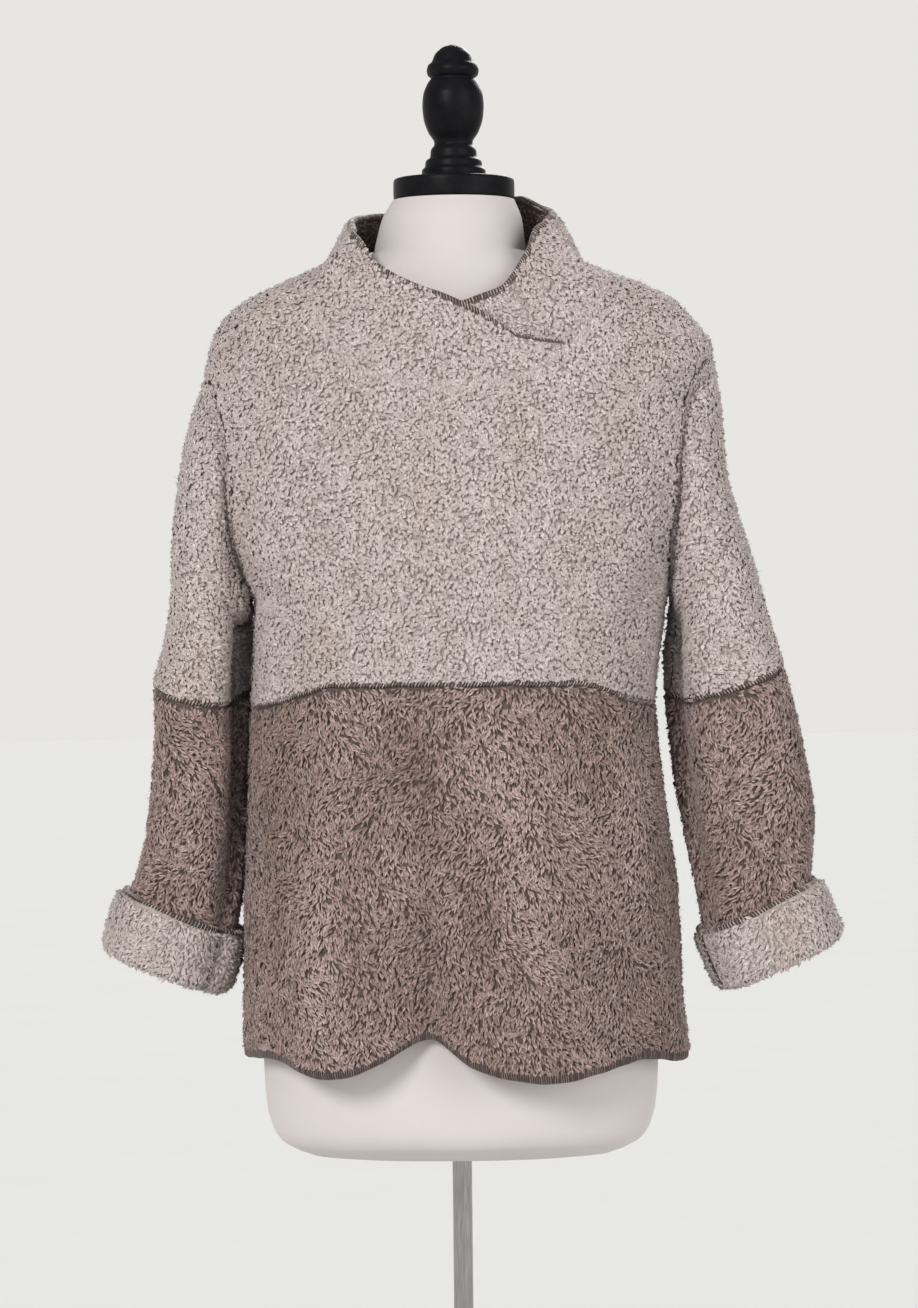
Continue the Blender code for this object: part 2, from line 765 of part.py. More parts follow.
def add_cap(colour):
    bottom = FORM_NECK["height"][-1] + SEAM_GAP
    top = bottom + CAP_THICKNESS
    sizes = (
        (CAP_RADIUS - 0.7 * CAP_EDGE, bottom),
        (CAP_RADIUS, bottom + CAP_EDGE),
        (CAP_RADIUS, top - CAP_EDGE),
        (CAP_RADIUS - CAP_EDGE, top),
    )
    rings = [round_ring(radius, height, centre_x=FINIAL_CENTRE) for radius, height in sizes]
    loft("neck_cap", rings, colour, 0.35)
    return top + SEAM_GAP


def add_finial(bottom, colour):
    rings = [
        round_ring(radius, bottom + height, centre_x=FINIAL_CENTRE)
        for radius, height in zip(*FINIAL_PROFILE.values())
    ]
    rings.append(round_ring(2.0, bottom + FINIAL_HEIGHT, centre_x=FINIAL_CENTRE))
    return loft("finial", rings, colour, 0.35)


def add_pole(colour):
    ends = (FOOT_MIDDLE + SEAM_GAP, FORM_BOTTOM - SEAM_GAP)
    rings = [round_ring(POLE_RADIUS, height) for height in ends]
    return loft("pole", rings, colour, 0.2, 1.0)


def add_foot(colour):
    """A low domed plate with a socket that the pole stands in."""
    bore = POLE_RADIUS + SEAM_GAP
    profile = (
        (FOOT_RADIUS - 2, 0),
        (FOOT_RADIUS, 2),
        (FOOT_RADIUS, FOOT_EDGE - 2),
        (FOOT_RADIUS - 3, FOOT_EDGE),
        (0.6 * FOOT_RADIUS, FOOT_EDGE + 3.5),
        (HUB_RADIUS + 6, FOOT_MIDDLE),
        (HUB_RADIUS, FOOT_MIDDLE + 4),
        (HUB_RADIUS - 1, HUB_HEIGHT - 1.5),
        (HUB_RADIUS - 2.5, HUB_HEIGHT),
        (bore, HUB_HEIGHT),
        (bore, FOOT_MIDDLE),
    )
    rings = [round_ring(radius, height) for radius, height in profile]
    return loft("base_plate", rings, colour, 0.4, 0.6)


def clear_scene():
    for existing in list(bpy.data.objects):
        bpy.data.objects.remove(existing)


def build():
    clear_scene()
    light_pile, dark_pile = (0.45, 0.39, 0.36), (0.22, 0.17, 0.15)
    jersey, black_wood = (0.80, 0.75, 0.71), (0.012, 0.012, 0.014)
    steel, foot_steel = (0.6, 0.6, 0.6), (0.5, 0.5, 0.5)
    add_panel("front_upper", upper_grid(True), True, True, light_pile)
    add_panel("back_upper", upper_grid(False), False, True, light_pile)
    add_panel("front_lower", lower_grid(True), True, False, dark_pile)
    add_panel("back_lower", lower_grid(False), False, False, dark_pile)
    for side in ("right", "left"):
        upper = np.linspace(0, 1, SLEEVE_UPPER_ROWS + 1)
        lower = np.append(np.linspace(1, CUFF_START, SLEEVE_LOWER_ROWS), SLEEVE_END)
        add_sleeve(f"sleeve_upper_{side}", side, upper, True, light_pile)
        add_sleeve(f"sleeve_lower_{side}", side, lower, False, dark_pile)
        add_cuff(f"cuff_{side}", side, light_pile)
    add_collar("collar", light_pile)
    add_form(jersey)
    add_finial(add_cap(black_wood), black_wood)
    add_pole(steel)
    add_foot(foot_steel)


build()
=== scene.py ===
"""Looks of the crossover-collar pile pullover on its dress form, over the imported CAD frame.

Each cloth solid is replaced by a thin shell on the same form with its creases, the pile stands
on the shell as short locks, and the exposed overlock sewing lies along the seams and edges.
Sizes are in millimetres, in the frame's axes, and become metres when a mesh is made.
Wearer's right is towards -X, which is the photo's left.
"""

import functools
import json

import bpy
import numpy as np
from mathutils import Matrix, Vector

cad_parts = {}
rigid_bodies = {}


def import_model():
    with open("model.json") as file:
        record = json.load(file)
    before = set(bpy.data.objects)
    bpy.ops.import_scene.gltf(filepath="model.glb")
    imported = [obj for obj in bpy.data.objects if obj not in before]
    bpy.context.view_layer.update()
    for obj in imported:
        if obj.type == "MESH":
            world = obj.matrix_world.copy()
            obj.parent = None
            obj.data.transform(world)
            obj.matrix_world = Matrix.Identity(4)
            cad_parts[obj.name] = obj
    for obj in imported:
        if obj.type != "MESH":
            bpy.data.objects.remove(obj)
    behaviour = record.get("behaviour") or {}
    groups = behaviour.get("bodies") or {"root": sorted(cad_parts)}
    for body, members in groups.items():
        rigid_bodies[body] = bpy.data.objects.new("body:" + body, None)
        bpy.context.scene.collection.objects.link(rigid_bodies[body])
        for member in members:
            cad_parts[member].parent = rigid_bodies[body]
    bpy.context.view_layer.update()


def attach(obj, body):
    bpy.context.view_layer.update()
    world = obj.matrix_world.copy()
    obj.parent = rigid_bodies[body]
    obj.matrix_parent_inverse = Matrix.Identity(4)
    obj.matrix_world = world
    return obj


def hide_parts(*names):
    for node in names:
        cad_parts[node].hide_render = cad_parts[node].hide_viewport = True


# The solids' own sizes in mm and degrees, and how finely the cloth follows them.
MM = 0.001
PLUSH = 5.0
SEAM_GAP = 0.3
FLAP_STEP = 6.3
SHOULDER_CLEARANCE = 2.5
FINE = 3
BODY_SQUARENESS = 2.3
SLEEVE_SQUARENESS = 2.5
FRONT_COLUMNS = 24 * FINE
BACK_COLUMNS = 20 * FINE
LOWER_ROWS = 15 * FINE
SIDE_ROWS = 3 * FINE
ARMHOLE_ROWS = 10 * FINE
SHOULDER_ROWS = 6 * FINE
SHOULDER_SPREAD = 1.45
SIDE_PULL = 1.5
SLEEVE_UPPER_ROWS = 32
SLEEVE_LOWER_ROWS = 30
COLLAR_ROWS = 16

NECK_POINT_HEIGHT = 1421.0
SIDE_WAIST_HEIGHT = 1060.0
FRONT_WAIST_RISE = 16.0
BACK_WAIST_RISE = 4.0
WAIST_RISE_STARTS = 18.0
WAIST_RISE_SPAN = 34.0
HEM_HEIGHT = 772.0
HEM_DROP_AT_FOLDS = 0.9
HEM_TILT = 3.0
COLLAR_TOP_HEIGHT = 1470.0
OVER_TIP_ANGLE = -45.0
FRONT_STEP = 180.0 / FRONT_COLUMNS
BACK_STEP = 180.0 / BACK_COLUMNS


def table(columns, *rows):
    """A table as one array for each named column."""
    return {name: np.array(values, float) for name, values in zip(columns.split(), zip(*rows))}


BODY = table(
    "height right_side left_side front back",
    (700, 178, 188, 148, 140), (771, 177, 186, 146, 138), (816, 176, 181, 143, 134),
    (898, 175, 178, 138, 129), (980, 171, 168, 132, 121), (1062, 168, 161, 128, 113),
    (1110, 165, 166, 132, 114), (1144, 164, 171, 134, 116), (1162, 173, 176, 134, 117),
    (1195, 189, 184, 134, 118), (1226, 196, 192, 131, 119), (1277, 202, 203, 119, 117),
    (1322, 203, 206, 105, 111), (1349, 199, 211, 96, 104), (1366, 193, 200, 90, 99),
    (1384, 178, 184, 83, 91), (1398, 153, 160, 78, 85), (1408, 130, 133, 75, 81),
    (1416, 111, 113, 72, 77), (1424, 93, 98, 70, 74),
)

BODY_FOLDS = table(
    "angle spread rise starts_at full_at",
    (-126, 20, 11, 1010, 820), (-103, 13, -27, 950, 800), (-66, 19, 11, 1000, 800),
    (-150, 12, -5, 930, 800), (-32, 13, -6, 980, 820), (62, 17, 9, 1000, 800),
    (88, 11, -16, 960, 800), (118, 16, 8, 1020, 830), (150, 12, -5, 940, 800),
)

NECKLINE_FRONT = table(
    "turn height",
    (0, NECK_POINT_HEIGHT), (14, 1418.5), (20, 1413), (25, 1402), (30, 1385), (38, 1361),
    (46, 1344), (56, 1328), (70, 1317), (90, 1312),
)

NECKLINE_BACK = table(
    "turn height",
    (0, NECK_POINT_HEIGHT), (30, 1413), (60, 1407), (90, 1405),
)

ARMHOLE = {
    "right": {"top": 1330.0, "under": 1142.0, "front_turn": 19.0, "back_turn": 17.0},
    "left": {"top": 1346.0, "under": 1144.0, "front_turn": 19.5, "back_turn": 17.0},
}

SLEEVE_COLUMNS = "station outer_x outer_z inner_x inner_z front back turn drop crease_at crease"
SLEEVE = {
    "right": table(
        SLEEVE_COLUMNS,
        (0.0, 204, 1330, 164, 1142, 62, 62, 0, 0, 150, 0),
        (0.13, 213, 1303, 169, 1145.5, 63, 62, 1, 0, 152, -4),
        (0.26, 220, 1273, 171, 1144, 64, 62, 3, 2, 154, -11),
        (0.39, 225, 1236, 171, 1137, 65, 62, 5, 4, 156, -6),
        (0.51, 228, 1195, 170, 1125, 66, 62, 7, 7, 158, 20),
        (0.64, 229, 1160, 170, 1110, 66, 62, 8, 10, 158, 34),
        (0.88, 236, 1112, 170, 1086, 65, 62, 9, 12, 158, 34),
        (1.0, 244, 1084, 170, 1070, 64, 61, 9, 13, 157, 32),
        (1.16, 244, 1050, 170, 1038, 63, 60, 8, 9, 156, 30),
        (1.34, 247, 1008, 172.5, 1000, 61, 58, 6, 6, 154, 27),
        (1.52, 252, 966, 174.5, 960, 58, 56, 4, 4, 148, 21),
        (1.68, 260, 932, 177.5, 917, 55, 54, 2, 4, 142, 15),
        (1.82, 269, 907, 184, 874, 52, 52, 0, 3, 134, 9),
    ),
    "left": table(
        SLEEVE_COLUMNS,
        (0.0, 211, 1346, 171, 1144, 62, 62, 0, 0, 150, 0),
        (0.13, 215, 1318, 176, 1147, 63, 62, 1, 0, 154, -3),
        (0.26, 218, 1288, 177, 1146, 64, 62, 2, 2, 156, -8),
        (0.39, 220, 1251, 178, 1139, 64, 62, 3, 4, 158, -4),
        (0.51, 231, 1207, 176, 1127, 63, 60, 4, 6, 160, 16),
        (0.64, 243, 1168, 174, 1110, 62, 59, 5, 8, 160, 28),
        (0.88, 255, 1122, 172, 1088, 61, 58, 6, 10, 160, 30),
        (1.0, 264, 1095, 172, 1066, 60, 57, 6, 11, 160, 29),
        (1.16, 274, 1055, 175, 1030, 59, 56, 5, 7, 159, 27),
        (1.34, 284, 1006, 179, 992, 57, 55, 3, 4, 156, 23),
        (1.52, 290, 964, 186, 952, 55, 53, 0, 2, 152, 16),
        (1.68, 288, 934, 194, 912, 53, 52, -1, 2, 148, 10),
        (1.82, 286, 909, 201, 871, 52, 51, 0, 2, 144, 6),
    ),
}
WAY_OUT = {"right": -1, "left": 1}
CREASE_SPREAD = 17.0
CREASE_TUCK = 0.3
ARMHOLE_FADE = 0.5

CUFF_START = 1.82
SLEEVE_END = 2.0
HIDDEN_LENGTH = 36.0
CUFF_LEAN = {"right": 17.0, "left": 23.0}
CUFF_PROFILE = table(
    "out down",
    (0.9, -1), (0.7, 20), (0.6, 36.6), (-4.6, 36.6), (-5.2, 42), (-2.5, 46.5), (2.5, 48),
    (6.8, 45.5), (9.3, 39), (9.8, 24), (9.2, 8), (7.6, 0), (4.6, -2.5),
)

COLLAR_SHAPE = table(
    "angle top_radius bulge",
    (-180, 76, 2), (-165, 70, 2), (-150, 62, 4), (-130, 58, 9), (-110, 64, 9), (-90, 71, 8),
    (-60, 66, 8), (-45, 62, 8), (-30, 63, 3), (-15, 70, 1), (0, 78, 2), (45, 78, 2), (90, 77, 2),
    (135, 78, 2), (180, 76, 2),
)

COLLAR_EDGE = table(
    "travel height",
    (0, 1350), (15, 1354), (30, 1372), (50, 1389), (70, 1402), (85, 1415), (105, 1441), (135, 1457),
    (180, 1467), (225, 1472), (275, 1479), (295, 1470), (315, 1462), (345, 1448), (365, 1419),
    (380, 1396), (400, 1383), (425, 1370), (450, 1359),
)
COLLAR_LENGTH = 450.0
UNDER_STARTS = 332.0
UNDER_FULL = 355.0

FORM = table(
    "height side front back squareness",
    (696, 134, 74, 80, 2.3), (703, 146, 88, 94, 2.3), (714, 154, 96, 103, 2.3),
    (737, 160, 102, 109, 2.3), (790, 162, 106, 111, 2.3), (850, 160, 106, 110, 2.3),
    (950, 142, 94, 96, 2.3), (1060, 121, 84, 80, 2.3), (1150, 137, 100, 88, 2.3),
    (1230, 160, 111, 98, 2.3), (1285, 182, 104, 100, 2.3), (1320, 195, 86, 96, 2.3),
    (1345, 203, 78, 90, 2.2), (1372, 200, 71, 84, 2.0), (1400, 140, 66, 76, 1.8),
    (1420, 79, 63.5, 69, 1.8),
)
FORM_BOTTOM = 690.0
# The form's two lowest rings: side, front and back, and the height.
FORM_EDGE = (((100.0, 56.0, 62.0), FORM_BOTTOM), ((122.0, 67.0, 73.0), FORM_BOTTOM + 2))
FORM_SHOULDER_SPAN = (1313.0, 1420.0)
FORM_NECK = table(
    "height radius centre",
    (1431, 62.5, -2), (1441, 60.5, -1.5), (1456, 57.5, -0.5), (1472, 50, 1),
)
FORM_AROUND = 72
FINIAL_CENTRE = 1.5

CAP_RADIUS = 49.7
CAP_THICKNESS = 17.5
FINIAL_PROFILE = table(
    "radius above_cap",
    (26.2, 0.0), (26.2, 7.0), (23.5, 9.0), (23.0, 14.5), (19.2, 16.5), (18.7, 23.5), (15.6, 27.0),
    (16.0, 31.0), (20.5, 37.0), (24.2, 47.0), (25.4, 59.0), (24.4, 70.0), (20.5, 78.5),
    (17.6, 82.0), (20.6, 84.0), (21.6, 88.5), (20.2, 93.0), (17.2, 95.0), (14.6, 102.0),
    (8.5, 107.5),
)
FINIAL_HEIGHT = 109.5

POLE_RADIUS = 8.0
FOOT_RADIUS = 160.0
FOOT_EDGE = 9.0
FOOT_MIDDLE = 14.0
HUB_RADIUS = 17.0
HUB_HEIGHT = 42.0
TURNED_SIDES = 64

# The scene's own counts, bands of stitching and depths below the pile's tips.
SLEEVE_AROUND = 60
CUFF_STEPS = 42
COLLAR_COLUMNS = 160
FIBRE_SHARE = 0.48
FIBRE_WIDTH = 0.55
WAIST_EDGES = ((0.0, 0.25), (0.6, 1.0))
GROUND_DEPTH = 1.7
SHELL_DEPTH = 4.6
HEM_BAND = 6.6
WAIST_BAND = 4.6
SLEEVE_BAND = 5.0
CUFF_BAND = 5.4
COLLAR_BAND = 4.6
COVERED_TIP = 22.0
COVERED_FROM = 372.0
SEAM_RISE = 2.2
SEAM_SUNK = 1.2
EDGE_PAST = 0.9
SLANT = 0.4
FLAT_SEAM = (1.9, 0.5)
FLAT_STITCH = {"pitch": 2.6, "radius": 0.35, "wander": 0.2}
OTHER_WAY = [0, 3, 2, 1]
TUBE_GUIDE = np.array([0.31, 0.22, 0.93])
TUBE_END = 0.55
STITCH_STRAY = 0.12
THREAD_CLEAR = 0.25
KNOT_SIZE = 1.1
BAND_STEP = 3.0
FADE_LENGTH = 12.0
SEAM_STEPS = 150
SEAM_GAP_STEPS = 160
SLEEVE_SEAM_STEPS = 220
WAIST_STEPS = 520
HEM_STEPS = 560
COLLAR_EDGE_STEPS = 620
POINTS_AT_ONCE = 4000
CUFF_OUTSIDE = 10
CUFF_BRIM = 13
CUFF_PILE_SPAN = (3.2, 12.6)
CUFF_WAVES = ((1.2, 2, 0.7), (0.84, 5, 1.9))

# Pile kinds: length, width, cloth area for each lock, ground depth, lift, spread, stray, nap, curl.
# Lengths in mm, area in mm2; nap is the lean's angle from upwards in degrees, spread its slow change
# over the cloth and stray its change from lock to lock, both in radians.
UPPER_PILE = (5.0, 2.8, 5.2, 1.4, 0.7, 0.75, 0.42, 180, 0.8)
SLEEVE_UPPER_PILE = (5.0, 2.8, 5.1, 1.4, 0.7, 0.75, 0.42, 0, 0.8)
LOWER_PILE = (7.0, 1.8, 5.1, 1.5, 0.9, 0.7, 0.36, 180, 0.8)
SLEEVE_LOWER_PILE = (7.0, 1.85, 5.1, 1.5, 0.9, 0.8, 0.42, 0, 0.9)
CUFF_PILE = (6.8, 2.2, 5.0, 1.4, 1.0, 0.8, 0.55, 180, 0.8)
COLLAR_PILE = (5.0, 2.9, 5.1, 1.4, 0.6, 1.1, 0.6, 180, 0.8)
COLLAR_UNDER_PILE = (5.0, 2.2, 5.3, 1.6, 0.3, 1.0, 0.5, 180, 0.4)
INSIDE_PILE = (4.4, 2.1, 8.0, 1.2, 0.2, 1.0, 0.5, 180, 0.3)
FRINGE_DOWN = (7.0, 2.2, 5.0, 1.6, -0.9, 0.6, 0.42, 180, 0.7)
FRINGE_UP = (6.5, 2.2, 6.0, 1.6, 0.3, 0.6, 0.42, 0, 0.7)
BACK_SHARE = 1.45

# Bare margins of the pile in mm, at the first row, last row, first column and last column.
UPPER_CLEAR = (2.2, -5, -5, -5)
LOWER_CLEAR = (6.0, 1.6, -5, -5)
FRINGE_UP_CLEAR = (-1, -6, -3, -3)
SLEEVE_UPPER_CLEAR = (2.6, 2.0, 0, 0)
SLEEVE_LOWER_CLEAR = (2.4, -5, 0, 0)
CUFF_CLEAR = (-5, 0.5, 0, 0)
SLEEVE_SEAM_CLEAR = 1.3
CUFF_SEAM_CLEAR = 3.6
COLLAR_CLEAR = (-5, 2.4, -4, -4)
FRINGE_DOWN_CLEAR = (-7, -9, -4, -4)
COLLAR_UNDER_CLEAR = (0.0, 2.4, -4, 0)
INSIDE_CLEAR = (0.0, 3.0, 2, 2)

# A lock's five corners: how far each lies along it and to which side, and the faces between them.
LOCK_ALONG = (0, 0.45, 0.75, 0.45, 1.0)
LOCK_ACROSS = (0, -1, 0, 1, 0)
LOCK_FACES = np.array([(0, 2, 1), (0, 3, 2), (1, 2, 4), (2, 3, 4)])
HAIR_ALONG = (0.7, 0.7, 1.0)

# How locks and loose fibres differ: least and greatest share of the kind's own size, or in mm.
LOCK_SIZES = (0.72, 1.28)
LOCK_WIDTHS = (0.75, 1.3)
LOCK_LIFTS = (0.3, 1.5)
TIP_LIFTS = (0.1, 1.5)
SHORTEST_LOCK = 0.45
PAST_MARGIN = 1.2
LEAST_RATE = 0.05
PROUD_SHARE = 0.12
PROUD_RISE = 1.3
FIBRE_LENGTHS = (2.4, 5.0)
FIBRE_STRAY = 0.42
STEEP_SHARE = 0.25
STEEP_RISE = 1.3
FLAT_RISE = 0.28

# Fields by which the pile's lie changes over the cloth: a seed and a size in mm.
BROAD_TURN = (11, 70)
FINE_TURN = (12, 22)
FINE_TURN_SHARE = 0.6
FIELD_WAVES = 7
# Painted shade and light on the pile by the folds: the greatest shift of the locks' tone, and the folds'
# rise in mm at which it is full.
FOLD_SHADE_PAINT = 0.34
FULL_FOLD = 4.5

# Creases: a degree round the body or a sleeve, and a sleeve's station, each as mm on the cloth.
BODY_ARC = 2.6
SLEEVE_ARC = 0.95
SLEEVE_SPAN = 250.0
CREASE_COLUMNS = "from_around from_along to_around to_along width rise"
BODY_CREASES = table(
    CREASE_COLUMNS,
    (-166, 1205, -141, 1085, 16, -1.6), (-158, 1228, -132, 1120, 15, 1.8),
    (-14, 1205, -40, 1090, 16, -1.6), (-22, 1232, -47, 1128, 15, 1.8),
    (-128, 1152, -84, 1120, 17, -1.2), (-98, 1118, -48, 1146, 16, -1.3),
    (-160, 1046, -158, 830, 14, -2.2), (-132, 1044, -133, 780, 21, 5.0),
    (-103, 1030, -101, 768, 16, -4.6), (-70, 1040, -68, 800, 24, 3.2),
    (-47, 1048, -44, 860, 15, -2.0), (-30, 1052, -30, 860, 12, 1.7),
    (152, 1210, 134, 1095, 14, -2.6), (30, 1205, 50, 1098, 14, -2.6),
    (118, 1165, 74, 1132, 18, -1.4), (98, 1290, 84, 1225, 20, -1.3),
    (134, 1045, 128, 890, 12, -2.0), (104, 1050, 101, 860, 13, 1.8),
    (76, 1046, 72, 880, 12, -1.8), (44, 1050, 40, 890, 11, 1.9),
)
SLEEVE_CREASES = {
    "right": table(
        CREASE_COLUMNS,
        (24, 0.07, 158, 0.062, 8.5, -12.5), (152, 0.505, 206, 0.505, 7, -13.0),
        (158, 0.37, 196, 0.37, 11, 3.5), (176, 0.56, 176, 0.98, 13, -9.0),
        (60, 0.36, 138, 0.47, 9, -2.4), (52, 0.5, 126, 0.66, 10, 1.8),
        (44, 0.66, 120, 0.84, 9, -2.2), (28, 1.14, 96, 1.26, 10, -2.0),
        (50, 1.34, 120, 1.46, 9, 1.8), (20, 1.58, 88, 1.68, 8, -2.2),
        (310, 0.4, 226, 0.52, 10, -2.4), (318, 0.8, 236, 0.7, 10, 1.8),
        (312, 1.2, 230, 1.3, 10, -2.2), (330, 1.55, 250, 1.64, 9, -2.0),
    ),
    "left": table(
        CREASE_COLUMNS,
        (18, 0.068, 158, 0.062, 8.5, -12.0), (46, 0.34, 132, 0.46, 10, -2.5),
        (40, 0.55, 110, 0.7, 11, 2.0), (56, 0.78, 128, 0.9, 9, -2.2),
        (36, 1.16, 118, 1.3, 10, -2.2), (30, 1.44, 104, 1.56, 9, 2.2),
        (62, 1.5, 84, 1.8, 6.5, -5.0), (90, 1.45, 108, 1.8, 10, 2.5),
        (306, 0.42, 224, 0.5, 10, -2.2), (320, 0.72, 240, 0.84, 10, 1.8),
        (308, 1.22, 228, 1.34, 10, -2.2), (326, 1.6, 246, 1.68, 9, 1.9),
    ),
}
SLEEVE_SEAM = {"right": -9.0, "left": 16.0}

# The camera's distance to the picture in photo pixels, its place in metres and its roll in degrees.
CAMERA_FOCUS = 4800.0
PHOTO_HEIGHT = 1308.0
CAMERA_PLACE = (0.0017, -3.936, 1.1)
CAMERA_ROLL = -0.6
WALL_COLOUR = (0.80, 0.79, 0.76)
CEILING_COLOUR = (0.28, 0.285, 0.29)
FLOOR_HALF = 60.0
FLOOR_COLOUR = (0.84, 0.836, 0.81)
# Each light: its name, the way to it, its strength, its spread in degrees and its colour.
SUNS = (
    ("key", (-0.46, -0.9, 0.46), 2.2, 18.0, (1.0, 0.985, 0.97)),
    ("fill", (0.85, -0.8, 0.25), 1.2, 40.0, (0.98, 0.99, 1.0)),
    ("rear", (0.3, 0.9, 0.5), 1.8, 30.0, (1.0, 1.0, 1.0)),
)

LIGHT_ROOT = (0.34, 0.28, 0.26)
LIGHT_MIDDLE = (0.525, 0.455, 0.437)
LIGHT_TIP = (0.685, 0.618, 0.612)
DARK_ROOT = (0.09, 0.06, 0.051)
DARK_MIDDLE = (0.255, 0.185, 0.163)
DARK_TIP = (0.57, 0.448, 0.415)
LIGHT_TONES = ((0.82, 0.805, 0.795), (1.06, 1.06, 1.06))
LIGHT_PATCHES = ((0.93, 0.90, 0.86), (1.02, 1.025, 1.06))
DARK_TONES = ((0.58, 0.55, 0.54), (1.22, 1.22, 1.22))
DARK_PATCHES = ((0.74, 0.69, 0.65), (1.11, 1.10, 1.13))
THREAD_DARK = (0.05, 0.034, 0.028)
THREAD_MIDDLE = (0.20, 0.15, 0.13)
THREAD_LIGHT = (0.52, 0.44, 0.40)
JERSEY_LOW = (0.56, 0.512, 0.497)
JERSEY_HIGH = (0.595, 0.547, 0.533)


def read(columns, key, column, at):
    """The column's smooth value where the key column is at, with no overshoot between rows."""
    xs, ys = columns[key], columns[column]
    at = np.clip(np.asarray(at, float), xs[0], xs[-1])
    steps = np.diff(xs)
    slopes = np.diff(ys) / steps
    ends = np.zeros(len(xs))
    same_way = slopes[:-1] * slopes[1:] > 0
    with np.errstate(divide="ignore", invalid="ignore"):
        middle = 2 * slopes[:-1] * slopes[1:] / (slopes[:-1] + slopes[1:])
    ends[1:-1] = np.where(same_way, middle, 0)
    ends[0], ends[-1] = slopes[0], slopes[-1]
    span = np.clip(np.searchsorted(xs, at, side="right") - 1, 0, len(xs) - 2)
    part = (at - xs[span]) / steps[span]
    return (
        ys[span] * (1 + 2 * part) * (1 - part) ** 2
        + ys[span + 1] * part**2 * (3 - 2 * part)
        + steps[span] * ends[span] * part * (1 - part) ** 2
        - steps[span] * ends[span + 1] * part**2 * (1 - part)
    )


def ease(value):
    """A soft step from 0 at 0 to 1 at 1."""
    value = np.clip(value, 0, 1)
    return value * value * (3 - 2 * value)


def unit(vectors):
    return vectors / np.maximum(np.linalg.norm(vectors, axis=-1, keepdims=True), 1e-9)


def at_radius(radius, angle, height):
    """Points at a radius and an angle round the upright axis, and a height."""
    return np.stack([radius * np.cos(angle), radius * np.sin(angle), 0 * angle + height], axis=-1)


def full_turn(count):
    """Angles all round, the first at 0."""
    return np.arange(count) * 2 * np.pi / count


def oval_radius(angle, side, depth, squareness):
    along, across = np.abs(np.cos(angle)) / side, np.abs(np.sin(angle)) / depth
    return (along**squareness + across**squareness) ** (-1 / squareness)


def turn_between(angle, centre):
    """Degrees from one angle to another, the short way round."""
    return (np.degrees(angle) - centre + 180) % 360 - 180


def side_turn(angle):
    """Degrees from the nearer side line."""
    return np.degrees(np.arcsin(np.clip(np.abs(np.sin(angle)), 0, 1)))


def body_folds(angle, height):
    total = np.zeros(np.broadcast(angle, height).shape)
    for centre, spread, rise, starts, full in zip(*BODY_FOLDS.values()):
        grown = ease((starts - height) / (starts - full))
        total = total + rise * grown * np.exp(-((turn_between(angle, centre) / spread) ** 2))
    return total


def body_point(angle, height):
    """The outer face of the pullover's body at an angle round the form and a height."""
    angle, height = np.broadcast_arrays(np.asarray(angle, float), np.asarray(height, float))
    names = ("right_side", "left_side", "front", "back")
    right, left, front, back = (read(BODY, "height", name, height) for name in names)
    side = np.where(np.cos(angle) < 0, right, left)
    depth = np.where(np.sin(angle) < 0, front, back)
    radius = oval_radius(angle, side, depth, BODY_SQUARENESS) + body_folds(angle, height)
    return at_radius(radius + body_creases(angle, height), angle, height)


def normals_of(surface, first, second):
    """Unit normals of a surface of two values, from small steps either way."""
    step = 1e-3
    along = surface(first + step, second) - surface(first - step, second)
    up = surface(first, second + step) - surface(first, second - step)
    return unit(np.cross(unit(along), unit(up)))


def body_normals(angle, height):
    return normals_of(body_point, angle, height)


def neckline_height(angle):
    turn = side_turn(angle)
    front, back = (read(line, "turn", "height", turn) for line in (NECKLINE_FRONT, NECKLINE_BACK))
    return np.where(np.sin(angle) < 0, front, back)


def waist_height(angle):
    rise = np.where(np.sin(angle) < 0, FRONT_WAIST_RISE, BACK_WAIST_RISE)
    return SIDE_WAIST_HEIGHT + rise * ease((side_turn(angle) - WAIST_RISE_STARTS) / WAIST_RISE_SPAN)


def hem_height(angle):
    """The hem hangs a little lower under each fold that stands out."""
    folds = body_folds(angle, np.full(np.shape(angle), HEM_HEIGHT))
    return HEM_HEIGHT - HEM_DROP_AT_FOLDS * folds - HEM_TILT * np.cos(angle)


def armhole_span(side):
    """The height of the armhole's middle and half its height."""
    hole = ARMHOLE[side]
    return (hole["top"] + hole["under"]) / 2, (hole["top"] - hole["under"]) / 2


def armhole_turn(side, height, front):
    """Degrees from the side line to the armhole's edge at a height."""
    middle, half = armhole_span(side)
    widest = ARMHOLE[side]["front_turn" if front else "back_turn"]
    return widest * np.sqrt(np.clip(1 - ((height - middle) / half) ** 2, 0, 1))


def side_heights(side):
    """Heights of the upper panels' rows on one side: under the armhole, beside it, on the shoulder."""
    top, under = ARMHOLE[side]["top"], ARMHOLE[side]["under"]
    middle, half = armhole_span(side)
    low = np.linspace(SIDE_WAIST_HEIGHT, under, SIDE_ROWS + 1)[:-1]
    beside = middle - half * np.cos(np.linspace(0, np.pi, ARMHOLE_ROWS + 1))[:-1]
    rise = 1 - (1 - np.linspace(0, 1, SHOULDER_ROWS + 1)) ** SHOULDER_SPREAD
    return np.concatenate([low, beside, top + (NECK_POINT_HEIGHT - top) * rise])


def panel_angles(front):
    """The angles of a panel's columns: the front from wearer's right, the back from wearer's left."""
    if front:
        return np.radians(-180 + FRONT_STEP * np.arange(FRONT_COLUMNS + 1))
    return np.radians(BACK_STEP * np.arange(BACK_COLUMNS + 1))


